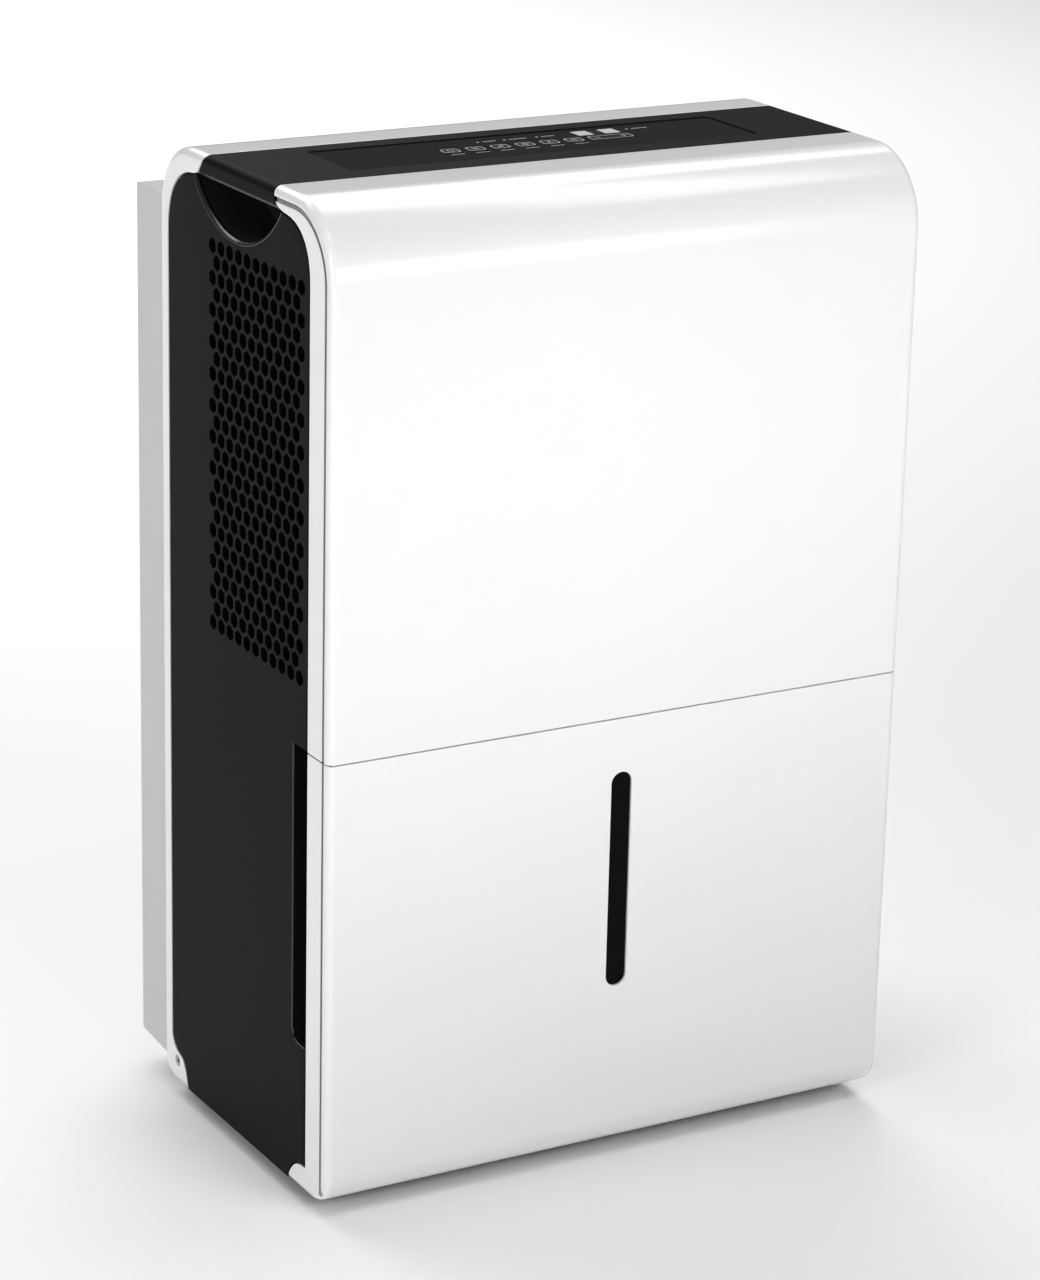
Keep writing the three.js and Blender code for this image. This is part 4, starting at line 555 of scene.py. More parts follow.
# Finishes of details.
EXTRA_FINISHES: dict[str, Moulding | WovenMesh] = {
    "filter_net": WovenMesh(),
    "print_grey": Moulding("pale_key_print", "#b4b7ba", 0.5, 0.8, 0.001, 0.03, 0.03, mirror=0.2),
    "display_cell": Moulding(
        "unlit_display_cell", "#c4c7c9", 0.4, 0.8, 0.001, 0.04, 0.03, mirror=0.2),
    # Painted shade: the intake box gets a slightly greyer white than the polished covers, standing in
    # for the shade on its sides.
    "box_painted_shade": Moulding(
        "satin_grey_white_abs", "#c6c7c8", 0.38, 1.0, 0.01, 0.02, 0.04, mirror=0.3),
    # Painted shade: grey on the walls and floor of the groove between a cover's face and its side
    # band, standing in for the shade in it.
    "groove_painted_shade": Moulding("grey_seam_strip", "#8c8e90", 0.6, 0.8, 0.01, 0.03, 0.05, mirror=0.1),
    # Satin black cup, a little paler than the panels: painted light on its inside, so that its depth
    # reads.
    "pocket_painted_light_black": Moulding(
        "satin_black_cup", "#1f2022", 0.36, 0.8, 0.02, 0.08, 0.05, mirror=0.35),
    # Painted highlight: a paler, glossier black on the bevel round each handle scoop and along the
    # finger groove's rear and lower edges; its gloss reflects the lamps and its paler tint is
    # painted.
    "rim_painted_highlight": Moulding(
        "burnished_black_abs", "#1b1c1e", 0.22, 1.2, 0.003, 0.05, 0.03, mirror=0.6),
    "hub_grey": Moulding("grey_wheel_hub", "#6c7074", 0.45, 0.8, 0.02, 0.05, 0.05),
    # Inside of the air path: matt black on the fan parts; on the walls of the exhaust holes, darker
    # than the panel they are cut in, it is painted shade, so that the holes read as dark.
    "duct_black_and_painted_shade": Moulding("matt_black_duct", "#060607", 0.8, 1.0, 0.02, 0.1, 0.05, mirror=0.05),
}
_made: dict[str, bpy.types.Material] = {}


def finish_for(name: str) -> bpy.types.Material:
    """The material of a slot or detail, made once."""
    if name not in _made:
        _made[name] = {**FINISHES, **EXTRA_FINISHES}[name].build()
    return _made[name]


# ---------- bringing pieces into the frame ----------
NODE_SLOTS = {part["node"]: part["material_slot"] for part in frame["record"]["subparts"]}
Accent = tuple[str, Callable[[Vector, Vector], bool]]  # a finish; takes a face's middle and normal


def node_body(node: str) -> str:
    """Name of the body that a CAD node rides on."""
    return frame["nodes"][node]["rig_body"]


def place_piece(name: str, bm: Mesh, nodes: Sequence[str], finish: str = "", body: str = "",
                accents: Sequence[Accent] = ()) -> None:
    """Turns a solid into a finished piece that stands for CAD nodes.

    Args:
        name: The piece's name.
        bm: The solid in millimetres. It is used up.
        nodes: CAD nodes that the piece stands for; the first one gives its body and slot.
        finish: Name of its finish, where that isn't the slot's own.
        body: Body that it rides on, where it stands for no node.
        accents: Finishes for some of its faces.
    """
    bm.normal_update()
    for index, (_, chosen) in enumerate(accents, start=1):
        for face in bm.faces:
            if chosen(face.calc_center_median(), face.normal):
                face.material_index = index
    bmesh.ops.scale(bm, verts=bm.verts, vec=(MM, MM, MM))
    bmesh.ops.translate(bm, verts=bm.verts, vec=(0, CAD_BOX[0].y, 0))
    for face in bm.faces:
        face.smooth = True
    piece = loose_object(name, bm)
    piece.data.set_sharp_from_angle(angle=math.radians(CRISP_ANGLE))
    weighted = piece.modifiers.new("even_shading", "WEIGHTED_NORMAL")
    weighted.keep_sharp = True
    slot = NODE_SLOTS[nodes[0]] if nodes else finish
    for kind in (finish or slot, *(accent[0] for accent in accents)):
        piece.data.materials.append(finish_for(kind))
    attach(piece, body or node_body(nodes[0]))
    if nodes:
        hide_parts(*nodes)
    LOG.info("%s: %d faces", name, len(piece.data.polygons))


def refined(node: str, radius: float, finish: str = "", angle: float = 40.0) -> None:
    """Places a copy of a CAD node with its edges eased, which stands for it."""
    bm = bmesh.new()
    bm.from_mesh(frame["nodes"][node].data)
    bmesh.ops.translate(bm, verts=bm.verts, vec=(0, -CAD_BOX[0].y, 0))
    bmesh.ops.scale(bm, verts=bm.verts, vec=(1 / MM, 1 / MM, 1 / MM))
    bmesh.ops.remove_doubles(bm, verts=bm.verts, dist=0.02)
    if radius > 0:
        soften(bm, radius, angle)
    place_piece(node + "_moulding", bm, [node], finish)


def dress(node: str, finish: str = "") -> None:
    """Gives a CAD node that stays in view its material."""
    owner = frame["nodes"][node]
    owner.data.materials.clear()
    owner.data.materials.append(finish_for(finish or NODE_SLOTS[node]))


def node_range(node: str, axis: int) -> Span:
    """Lowest and highest place of a CAD node on an axis, in millimetres."""
    low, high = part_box(node)
    shift = CAD_BOX[0].y if axis == 1 else 0.0
    return (low[axis] - shift) / MM, (high[axis] - shift) / MM


def extent(node: str) -> list[Span]:
    """Lowest and highest place of a CAD node on all three axes, in millimetres."""
    return [node_range(node, axis) for axis in range(3)]


def centre_of(node: str) -> tuple[float, float, float]:
    """Middle of a CAD node's box, in millimetres."""
    x, y, z = (sum(span) / 2 for span in extent(node))
    return x, y, z


def beside(node: str) -> tuple[float, float, float]:
    """The place on the middle plane straight beside a CAD node."""
    _, y, z = centre_of(node)
    return 0, y, z


# ---------- casing ----------
@dataclass
class Casing:
    """The body's side outline and the share that each cover has of it.

    Seen from the side, each white cover ends in a hook at the top and a toe at the foot.
    """

    half: float = (CAD_BOX[1].x - CAD_BOX[0].x) / 2 / MM
    height: float = CAD_BOX[1].z / MM
    depth: float = (CAD_BOX[1].y - CAD_BOX[0].y) / MM
    box_depth: float = 50.0
    floor_gap: float = node_range("base_pan", 2)[0]
    part_line: float = node_range("front_cover", 2)[0]
    top_front: float = node_range("front_cover", 1)[1]
    top_rear: float = node_range("rear_cover", 1)[0]
    skin: float = 2.5
    panel: float = 3.5
    edge: float = 5.0
    seam: float = 0.8
    front_top: float = 46.0
    rear_top: float = 41.0
    front_foot: float = 20.0
    rear_foot: float = 14.0
    front_band: float = 26.7
    rear_band: float = 12.0
    skirt: float = 11.0
    hook_drop: float = 47.0
    hook_low: float = 13.5
    toe_front: float = 23.0
    toe_rear: float = 22.0
    toe_height: float = 16.3
    far: float = 40.0  # how far cutting shapes reach past what they cut
    groove_deep: float = 1.5
    groove_wide: float = 2.8
    groove_inset: float = 0.9

    @property
    def body_depth(self) -> float:
        """Front face to the back of the rear band."""
        return self.depth - self.box_depth

    @property
    def back(self) -> float:
        """Front limit of the rear band."""
        return self.body_depth - self.rear_band

    def outline(self, inset: float) -> list[Stop]:
        """Side outline in (y, z), moved inwards by inset."""
        low, high = self.floor_gap + inset, self.height - inset
        front, rear = inset, self.body_depth - inset
        return [
            (front, low, self.front_foot - inset), (rear, low, self.rear_foot - inset),
            (rear, high, self.rear_top - inset), (front, high, self.front_top - inset),
        ]

    def envelope(self) -> Mesh:
        """The whole casing as one solid with rounded sides."""
        bm = prism(self.outline(0), Axis.X, -self.half, self.half, 20)
        sides = [e for e in bm.edges
                 if abs(abs(e.verts[0].co.x + e.verts[1].co.x) / 2 - self.half) < 0.01]
        round_edges(bm, sides, self.edge, 8)
        return bm

    def hollow(self, inset: float) -> Mesh:
        """What is left inside a wall of this thickness."""
        return prism(self.outline(inset), Axis.X, -self.half + inset, self.half - inset, 14)

    def across(self, stops: Sequence[Stop], segments: int = 10) -> Mesh:
        """A cutting shape right across the casing."""
        return prism(stops, Axis.X, -self.half - self.far, self.half + self.far, segments)

    def front_region(self, grow: float) -> list[Stop]:
        """Front cover's share: the band, swelling into a hook under the front of the top."""
        band = self.front_band + grow
        hook = self.height - self.hook_low - grow
        tip = self.top_front + grow
        start, middle = (band, self.height - self.hook_drop), (band + 29, hook)
        low, high = self.part_line - grow, self.height + self.far
        return [
            *sharp((-self.far, low), (band, low), start),
            *curve(start, (band, hook - 14), (band + 11, hook - 1.5), middle),
            *curve(middle, (tip - 6, hook + 1), (tip - 1, hook + 2.5), (tip, self.height - 5)),
            *sharp((tip, high), (-self.far, high)),
        ]

    def bucket_region(self, grow: float) -> list[Stop]:
        """Bucket front's share: the band below the part line, with a toe at the foot."""
        band = self.front_band + grow
        toe_top = self.floor_gap + self.toe_height + grow
        toe_end = self.front_band + self.toe_front + grow
        top = self.part_line - self.seam + grow
        foot = (toe_end + 1, self.floor_gap - 1)
        return [
            *sharp((-self.far, -self.far), (toe_end + 1, -self.far), foot),
            *curve(foot, (toe_end - 2, self.floor_gap + 8), (toe_end - 8, toe_top),
                   (band + 5, toe_top)),
            *sharp((band, toe_top), (band, top), (-self.far, top)),
        ]

    def rear_region(self, grow: float) -> list[Stop]:
        """Rear cover's share: the rear band with its hook on top and its toe below."""
        band = self.back - grow
        hook = self.height - self.hook_low - grow
        toe_top = self.floor_gap + self.toe_height + 3 + grow
        toe_end = self.back - self.toe_rear - grow
        tip = self.top_rear - grow
        far_back, above = self.body_depth + self.far, self.height + self.far
        shoulder, arch = (tip, self.height - 1), (tip + 15, hook)
        neck = (band, self.height - self.hook_drop - 4)
        ankle, instep = (band, toe_top + 12), (band - 13, toe_top)
        return [
            *sharp((toe_end - 1, -self.far), (far_back, -self.far), (far_back, above),
                   (tip, above), shoulder),
            *curve(shoulder, (tip + 6, self.height - 7), (tip + 7, hook + 0.5), arch),
            *curve(arch, (band - 15, hook - 1), (band - 1, hook - 13), neck),
            *sharp(ankle),
            *curve(ankle, (band - 1, toe_top + 5), (band - 7, toe_top + 1), instep),
            *curve(instep, (toe_end + 4, toe_top - 2), (toe_end + 1, toe_top - 9),
                   (toe_end - 1, self.floor_gap - 1)),
        ]

    def crease(self, low: float, high: float, follow: bool) -> list[Mesh]:
        """Grooves in both side faces, just behind the rounded front edge.

        Args:
            low: Lower end.
            high: Upper end.
            follow: Whether they follow the bend over the top, or run straight.

        Returns:
            A cutter for each side.
        """
        made = []
        near = self.edge + self.groove_inset
        rear = near + self.groove_wide
        for side in Side:
            x0, x1 = side.span(self.half - self.groove_deep, self.half + 2)
            if follow:
                ring = prism(self.outline(near), Axis.X, x0, x1, 20)
                core = prism(self.outline(rear), Axis.X, x0 - 1, x1 + 1, 20)
                keep = block((x0, 0, low), (x1, self.top_front + 5, high))
                made.append(combine(combine(ring, Join.CUT, core), Join.KEEP, keep))
            else:
                made.append(block((x0, near, low), (x1, rear, high)))
        return made


CASING = Casing()


@dataclass
class Shells:
    """White front cover, bucket front and rear cover."""

    easing: float = 0.35
    window_wide: float = 14.0
    window_low: float = 117.5
    window_high: float = 255.0
    box_inset: float = 6.0
    box_foot: float = 17.0
    box_foot_rise: float = 4.5
    box_radius: float = 6.0
    box_top: float = node_range("air_filter", 2)[1] - 4.5  # the filter's tab stands above it
    pan_top: float = 51.0
    drain_hole: float = 9.3
    gland_hole: float = 8.3
    screw_hole: float = 3.6

    def build(self) -> None:
        """Builds the three shells."""
        self.front_cover()
        self.bucket_front()
        self.rear_cover()

    def shell(self, region: list[Stop]) -> Mesh:
        """A wall of the casing inside one region."""
        skin = combine(CASING.envelope(), Join.KEEP, CASING.across(region))
        return combine(skin, Join.CUT, CASING.hollow(CASING.skin))

    def in_groove(self, middle: Vector, normal: Vector) -> bool:
        """Whether a face is a wall or the floor of the grooves in the side faces, where grey shade is
        painted.
        """
        c = CASING
        floor = c.half - c.groove_deep
        inside = floor - 0.05 < abs(middle.x) < c.half - 0.3
        wall = abs(normal.x) < 0.4 or abs(middle.x) - floor < 0.05
        near = c.edge + 0.5 < middle.y < c.front_band - 6 or middle.z > c.height - c.front_top
        return inside and wall and near and c.floor_gap + 4 < middle.z < c.height - c.edge

    def front_cover(self) -> None:
        """Upper front shell, which wraps over the top."""
        bm = combine(self.shell(CASING.front_region(0)), Join.CUT,
                     *CASING.crease(CASING.part_line - 5, CASING.height, True))
        soften(bm, self.easing)
        place_piece("front_cover_shell", bm, ["front_cover"],
                    # The groove's walls and floor take painted grey shade.
                    accents=[("groove_painted_shade", self.in_groove)])

    def bucket_front(self) -> None:
        """Lower front shell with its window slot, side edges and toes."""
        c = CASING
        half_slot = self.window_wide / 2
        slot = prism(rectangle(-half_slot, half_slot, self.window_low, self.window_high,
                               half_slot - 0.05), Axis.Y, -c.far, c.far / 2, 16)
        behind = block((-c.half + c.skin, c.front_band, 0),
                       (c.half - c.skin, c.body_depth, c.part_line))
        bm = combine(self.shell(c.bucket_region(0)), Join.CUT, slot, behind,
                     *c.crease(0, c.part_line + 5, False))
        soften(bm, self.easing)
        place_piece("bucket_front_shell", bm, ["bucket_front"],
                    accents=[("groove_painted_shade", self.in_groove)])

    def rear_cover(self) -> None:
        """Rear band with hooks and toes, and the deep intake box behind it."""
        c = CASING
        box_half = c.half - self.box_inset
        wall = c.body_depth - c.skin
        box_low = self.box_foot + self.box_foot_rise
        body = prism(sharp((wall, self.box_foot), (c.depth, box_low), (c.depth, self.box_top),
                           (wall, self.box_top)), Axis.X, -box_half, box_half)
        rear = [e for e in body.edges if min(v.co.y for v in e.verts) > c.body_depth]
        round_edges(body, rear, self.box_radius, 6)
        inner = box_half - c.skin
        chamber = block((-inner, c.back, box_low + c.skin),
                        (inner, c.depth - c.skin, self.box_top - c.skin))
        pan = block((-c.half + c.skin, c.back - c.far, 0),
                    (c.half - c.skin, c.back, self.pan_top))
        (_, half), _, (low, high) = extent("intake_grille")
        intake = block((-half - FIT, c.depth - c.far / 2, low - FIT),
                       (half + FIT, c.depth + c.far, high + FIT))
        (_, wide), (y0, y1), _ = extent("air_filter")
        slot = block((-wide - 1, y0 - 1, self.box_top - c.far / 2),
                     (wide + 1, y1 + 1, self.box_top + c.far))
        holes = [self.hole(Side.RIGHT, "drain_cap", self.drain_hole, 30, 40),
                 self.hole(Side.RIGHT, "cord_gland", self.gland_hole, 30, 40)]
        holes += [self.hole(s, s.label + "_toe_screw", self.screw_hole, 20, 28) for s in Side]
        shell = combine(self.shell(c.rear_region(0)), Join.ADD, body)
        shell = combine(shell, Join.CUT, chamber, pan, intake, slot, *holes)
        soften(shell, self.easing)

        # Faces of the intake box take the greyer white, which is painted shade.
        def on_box(p: Vector, _: Vector) -> bool:
            """Whether a face belongs to the intake box."""
            return (p.y > c.body_depth - 0.4 and abs(p.x) < box_half + 0.1
                    and p.z < self.box_top + 0.1)

        place_piece("rear_cover_shell", shell, ["rear_cover"], accents=[("box_painted_shade", on_box)])

    def hole(self, side: Side, node: str, radius: float, reach: float, sides: int) -> Mesh:
        """Round cutter through one side, beside a fitting or screw."""
        span = side.span(CASING.half - reach, CASING.half + reach)
        return rod(Axis.X, span, beside(node), radius, sides)


@dataclass
class SidePanels:
    """Black side panels with finger grooves, scoops and, on the left, the honeycomb exhaust.

    A scoop is the part of a circle that hangs below the top bar.
    """

    easing: float = 0.7
    scoop_radius: float = 70.5
    scoop_y: float = 121.0
    scoop_rise: float = 29.0
    scoop_depth: float = 36.0
    groove_wide: float = 18.0
    groove_depth: float = 13.0
    groove_foot: float = 104.0
    groove_round: float = 9.0
    pitch: float = 11.52
    row_pitch: float = 9.56
    rows: int = 25
    columns: int = 11
    hole_flat: float = 8.6
    hole_tall: float = 9.9
    hole_round: float = 0.8
    hole_top: float = 50.9
    hole_front: float = 37.4
    flare: float = 3.0
    flare_deep: float = 1.5
    rim_wide: float = 1.4
    cup_wall: float = 2.0
    cup_round: float = 9.0

    @property
    def scoop_centre(self) -> Vector:
        """Centre of the scoops' circle, on the middle plane."""
        return Vector((0, self.scoop_y, CASING.height + self.scoop_rise))

    def build(self) -> None:
        """Builds both panels and both handle pockets."""
        for side in Side:
            self.panel(side)
            self.pocket(side)

    def scoop(self, shrink: float, top: float) -> list[Stop]:
        """Outline of the scoop below a level, in (y, z)."""
        radius = self.scoop_radius - shrink
        centre = CASING.height + self.scoop_rise
        lean = math.asin((centre - top) / radius)
        steps = 48
        turns = [math.pi + lean + i / steps * (math.pi - 2 * lean) for i in range(steps + 1)]
        return sharp(*((self.scoop_y + radius * math.cos(t), centre + radius * math.sin(t))
                       for t in turns))

    def panel(self, side: Side) -> None:
        """One side panel."""
        c = CASING
        sheet = prism(c.outline(c.skin / 2), Axis.X, *side.span(c.half, c.half - c.panel), 20)
        regions = [c.front_region(c.seam), c.bucket_region(c.seam), c.rear_region(c.seam)]
        above = block((-c.half - c.far, 0, c.height - c.skirt - c.seam),
                      (c.half + c.far, c.body_depth, c.height + c.far))
        bm = combine(sheet, Join.CUT, *[c.across(region) for region in regions], above,
                     self.rim_cutter(side), c.across(self.groove(), 12))
        bm = combine(bm, Join.ADD, self.liner(side))
        soften(bm, self.easing, where=lambda p: abs(p.x) > c.half - 1)
        if side is Side.LEFT:
            bm = combine(bm, Join.CUT, self.honeycomb())
        centre = self.scoop_centre
        rear = c.front_band + self.groove_wide
        first_row = c.height - self.hole_top
        field_low = first_row - self.rows * self.row_pitch

        def on_rim(p: Vector, _: Vector) -> bool:
            """Whether a face belongs to the rim of the scoop or of the finger groove, which gets the
            painted highlight.
            """
            reach = math.hypot(p.y - centre.y, p.z - centre.z) - self.scoop_radius
            behind = (abs(p.y - c.front_band - self.groove_wide) < self.rim_wide
                      and self.groove_foot - self.rim_wide < p.z < c.part_line)
            below = abs(p.z - self.groove_foot) < self.rim_wide and p.y < rear + 1
            return ((0.1 < reach < self.flare + 0.2 or behind or below)
                    and c.half - 2.2 < abs(p.x) < c.half - 0.05)

        def in_hole(p: Vector, normal: Vector) -> bool:
            """Whether a face is the wall of an exhaust hole, where shade is painted in matt black."""
            inside = field_low < p.z < first_row + 8 and c.front_band + 4 < p.y < c.back - 4
            return inside and abs(normal.x) < 0.2 and side is Side.LEFT

        place_piece(side.label + "_panel", bm, [side.label + "_side_panel"],
                    accents=[("rim_painted_highlight", on_rim), ("duct_black_and_painted_shade", in_hole)])

    def rim_cutter(self, side: Side) -> Mesh:
        """Scoop-shaped cutter that flares outwards, so that its rim is a bevel, which takes the
        painted highlight.
        """
        c = CASING
        stops = self.scoop(0, c.height - c.skirt + 1)
        inner = prism(stops, Axis.X, -c.far - c.half, c.half + c.far)
        flare = prism(stops, Axis.X, 0, self.flare)
        outer = [v for v in flare.verts if v.co.x > 1]
        grow = (self.scoop_radius + self.flare) / self.scoop_radius
        bmesh.ops.scale(flare, verts=outer, vec=(1, grow, grow),
                        space=Matrix.Translation(-self.scoop_centre))
        bmesh.ops.scale(flare, verts=flare.verts, vec=(side.value, 1, 1))
        start = side.value * (c.half - self.flare_deep)
        bmesh.ops.translate(flare, verts=flare.verts, vec=(start, 0, 0))
        bmesh.ops.recalc_face_normals(flare, faces=flare.faces)
        return combine(inner, Join.ADD, flare)

    def groove(self) -> list[Stop]:
        """Outline of the finger groove, in (y, z)."""
        front, rear = CASING.front_band - 1, CASING.front_band + self.groove_wide
        return [(front, self.groove_foot, 0.0), (rear, self.groove_foot, self.groove_round),
                (rear, CASING.part_line, 0.0), (front, CASING.part_line, 0.0)]

    def liner(self, side: Side) -> Mesh:
        """Walls behind the groove, open behind the bucket's side edge."""
        c = CASING
        rear = c.front_band + self.groove_wide
        inner = c.half - self.groove_depth
        x0, x1 = side.span(c.half - c.panel / 2, inner - c.skin)
        shell = block((x0, c.front_band + c.seam, self.groove_foot - c.skin),
                      (x1, rear + c.skin, c.part_line + c.skin))
        room = prism(self.groove(), Axis.X, *side.span(inner, c.half + c.far), 12)
        return combine(shell, Join.CUT, room)

    def honeycomb(self) -> Mesh:
        """All the exhaust holes as one cutter, each a hexagon with eased corners and a lead-in."""
        cell = self.cell()
        cells = []
        for row in range(self.rows):
            for column in range(self.columns - row % 2):
                y = self.hole_front + (column + row % 2 / 2) * self.pitch
                z = CASING.height - self.hole_top - row * self.row_pitch
                copy = cell.copy()
                bmesh.ops.translate(copy, verts=copy.verts, vec=(0, y, z))
                cells.append(copy)
        cell.free()
        return merge(*cells)

    def cell(self) -> Mesh:
        """One hole's cutter about the origin of (y, z), flared at the outer face."""
        flat, tall = self.hole_flat / 2, self.hole_tall / 2
        corners = [(0, -tall), (flat, -tall / 2), (flat, tall / 2),
                   (0, tall), (-flat, tall / 2), (-flat, -tall / 2)]
        outer = -CASING.half
        stops = [(y, z, self.hole_round) for y, z in corners]
        bm = prism(stops, Axis.X, outer + 0.3, outer + 10, 3)
        cap = [f for f in bm.faces if all(abs(v.co.x - outer - 0.3) < 0.01 for v in f.verts)]
        grown = bmesh.ops.extrude_face_region(bm, geom=cap)
        rim = [item for item in grown["geom"] if isinstance(item, bmesh.types.BMVert)]
        bmesh.ops.delete(bm, geom=cap, context="FACES_ONLY")
        bmesh.ops.translate(bm, verts=rim, vec=(-0.6, 0, 0))
        bmesh.ops.scale(bm, verts=rim, vec=(1, 1.1, 1.1))
        bmesh.ops.recalc_face_normals(bm, faces=bm.faces)
        return bm

    def pocket(self, side: Side) -> None:
        """Cup behind the scoop, with a soft floor radius."""
        c = CASING
        top = c.height - c.skirt - 1
        mouth = c.half - c.panel - FIT
        back, wall = mouth - self.scoop_depth, self.cup_wall
        shell = prism(self.scoop(-wall, top), Axis.X, back, mouth)
        room = prism(self.scoop(0, top - wall), Axis.X, back + wall, mouth + 4)
        floor = [e for e in room.edges if all(abs(v.co.x - back - wall) < 0.01 for v in e.verts)]
        round_edges(room, floor, self.cup_round, 8)
        bm = combine(shell, Join.CUT, room)
        bmesh.ops.scale(bm, verts=bm.verts, vec=(side.value, 1, 1))
        bmesh.ops.recalc_face_normals(bm, faces=bm.faces)
        # The cup takes the paler black, which is painted light on its inside.
        place_piece(side.label + "_pocket", bm, [side.label + "_handle_pocket"], "pocket_painted_light_black")


# Signs printed on the keys: bars by place and size about the key's middle, rings by radius alone.
SIGNS: dict[str, list[Point]] = {
    "power": [(2.3,), (0, 2.4, 0.6, 1.9)],
    "mode": [(0, -1.6, 4.2, 0.5), (0, 0, 4.2, 0.5), (0, 1.6, 4.2, 0.5)],
    "fan_speed": [(x, 0.7 * x, 0.8, 1.6 + 0.7 * (x + 1.8)) for x in (-1.8, 0, 1.8)],
    "timer": [(2.3,), (0, 0.7, 0.5, 1.6), (0.6, 0, 1.4, 0.5)],
    "pump": [(0, -1.6, 4.2, 0.5), (0, 0.6, 0.6, 3.2), (0, 2.2, 2.0, 0.5)],
    "filter_reset": [(-1.7, 0, 0.45, 4.0), (0, 0, 0.45, 4.0), (1.7, 0, 0.45, 4.0),
                     (0, -1.7, 4.0, 0.45), (0, 1.7, 4.0, 0.45)],
}
ROCKER_SIGN: list[Point] = [(-9, 0, 4, 0.7), (9, 0, 4, 0.7), (9, 0, 0.7, 4)]


@dataclass
class TopDeck:
    """Black top panel and the polished control inlay with its keys and display."""

    easing: float = 0.35
    key_easing: float = 0.2
    under_front: float = 8.0  # how far the panel reaches under the front cover
    under_rear: float = 15.0
    lip: float = 4.0
    inlay_round: float = 2.7
    flange: float = 1.2
    flange_thick: float = 1.6
    cap_round: float = 2.2
    key_gap: float = 0.4
    print_inset: float = 0.7
    line: float = 0.6
    ring_line: float = 0.5
    print_lift: float = 0.04
    dashes: tuple[Span, ...] = ((-62, 9.0), (-44, 12.0), (-22, 9.0))  # left of the wide key
    last_dash: Span = (8, 11.0)  # right of it
    cell_offset: float = 9.2
    cell_half: float = 5.2
    cell_margin: float = 1.6

    def build(self) -> None:
        """Builds the panel, the inlay, the keys and the display."""
        self.panel()
        self.fascia()
        for name, sign in SIGNS.items():
            self.key(name + "_button", sign)
        self.key("humidity_rocker", ROCKER_SIGN)
        self.display()

    def panel(self) -> None:
        """Bar between the two white hooks, with its side edges rounded like the casing."""
        c = CASING
        front, rear = c.top_front - self.under_front, c.top_rear + self.under_rear
        low, above = c.height - c.skirt, c.height + c.far
        bar = sharp((front, low), (rear, low), (rear, above), (front, above))
        bm = combine(c.envelope(), Join.KEEP, c.across(bar))
        inner = c.half - c.panel
        reach = block((-inner, 0, 0), (inner, c.body_depth, c.height - c.skin))
        x0, x1, y0, y1 = self.inlay()
        opening = prism(rectangle(x0 - FIT, x1 + FIT, y0 - FIT, y1 + FIT, 3),
                        Axis.Z, c.height - c.far, above)
        neighbours = [c.across(c.front_region(c.seam)), c.across(c.rear_region(c.seam))]
        bm = combine(bm, Join.CUT, reach, opening, *neighbours)
        soften(bm, self.easing)
        place_piece("top_bar", bm, ["top_panel"])

    def inlay(self) -> tuple[float, float, float, float]:
        """Visible rectangle of the inlay: x and y limits, inside its hidden lip."""
        (x0, x1), (y0, y1), _ = extent("control_fascia")
        return x0 + self.lip, x1 - self.lip, y0 + self.lip, y1 - self.lip

    def fascia(self) -> None:
        """Polished inlay with a hole for every key and a seat for the display."""
        (lip_x0, lip_x1), (lip_y0, lip_y1), (low, high) = extent("control_fascia")
        bm = prism(rectangle(*self.inlay(), self.inlay_round), Axis.Z, low, high)
        lip = block((lip_x0, lip_y0, low), (lip_x1, lip_y1, CASING.height - CASING.skin - FIT))
        holes = [self.key_outline(name + "_button", self.key_gap) for name in SIGNS]
        holes.append(self.key_outline("humidity_rocker", self.key_gap))
        cutters = [prism(stops, Axis.Z, low - 2, high + 2, 5) for stops in holes]
        (x0, x1), (y0, y1), _ = extent("display_window")
        seat = prism(rectangle(x0 - FIT, x1 + FIT, y0 - FIT, y1 + FIT, 1),
                     Axis.Z, high - 2, high + 2, 3)
        bm = combine(combine(bm, Join.ADD, lip), Join.CUT, *cutters, seat)
        soften(bm, self.key_easing)
        place_piece("control_inlay", bm, ["control_fascia"])
        self.legends(high)

    def key_outline(self, node: str, grow: float) -> list[Stop]:
        """Outline of a key's cap, which is smaller than its hidden flange."""
        (x0, x1), (y0, y1), _ = extent(node)
        rim = self.flange
        return rectangle(x0 + rim - grow, x1 - rim + grow, y0 + rim - grow, y1 - rim + grow,
                         self.cap_round)

    def key(self, node: str, sign: list[Point]) -> None:
        """A key cap with its printed outline and sign."""
        (x0, x1), (y0, y1), (low, high) = extent(node)
        cap = prism(self.key_outline(node, 0), Axis.Z, low + 1, high, 6)
        top = [e for e in cap.edges if all(v.co.z > high - 0.01 for v in e.verts)]
        round_edges(cap, top, 0.5, 3)
        flange = block((x0, y0, low), (x1, y1, low + self.flange_thick))
        place_piece(node + "_cap", combine(cap, Join.ADD, flange), [node])
        outer = prism(self.key_outline(node, -self.print_inset), Axis.Z, high,
                      high + self.print_lift, 6)
        inner = prism(self.key_outline(node, -self.print_inset - self.line), Axis.Z, high - 1,
                      high + 1, 6)
        outline = combine(outer, Join.CUT, inner)
        marks = [self.ring(*mark) if len(mark) == 1 else self.bar(*mark) for mark in sign]
        for mark in marks:
            bmesh.ops.translate(mark, verts=mark.verts, vec=((x0 + x1) / 2, (y0 + y1) / 2, high))
        place_piece(node + "_print", merge(outline, *marks), [], "print_grey", node_body(node))

    def bar(self, x: float, y: float, wide: float, deep: float) -> Mesh:
        """A printed bar about a key's middle."""
        return block((x - wide / 2, y - deep / 2, 0), (x + wide / 2, y + deep / 2, self.print_lift))

    def ring(self, radius: float) -> Mesh:
        """A printed ring about a key's middle."""
        outer = prism(disc(0, 0, radius, 24), Axis.Z, 0, self.print_lift)
        inner = prism(disc(0, 0, radius - self.ring_line, 24), Axis.Z, -1, 1)
        return combine(outer, Join.CUT, inner)

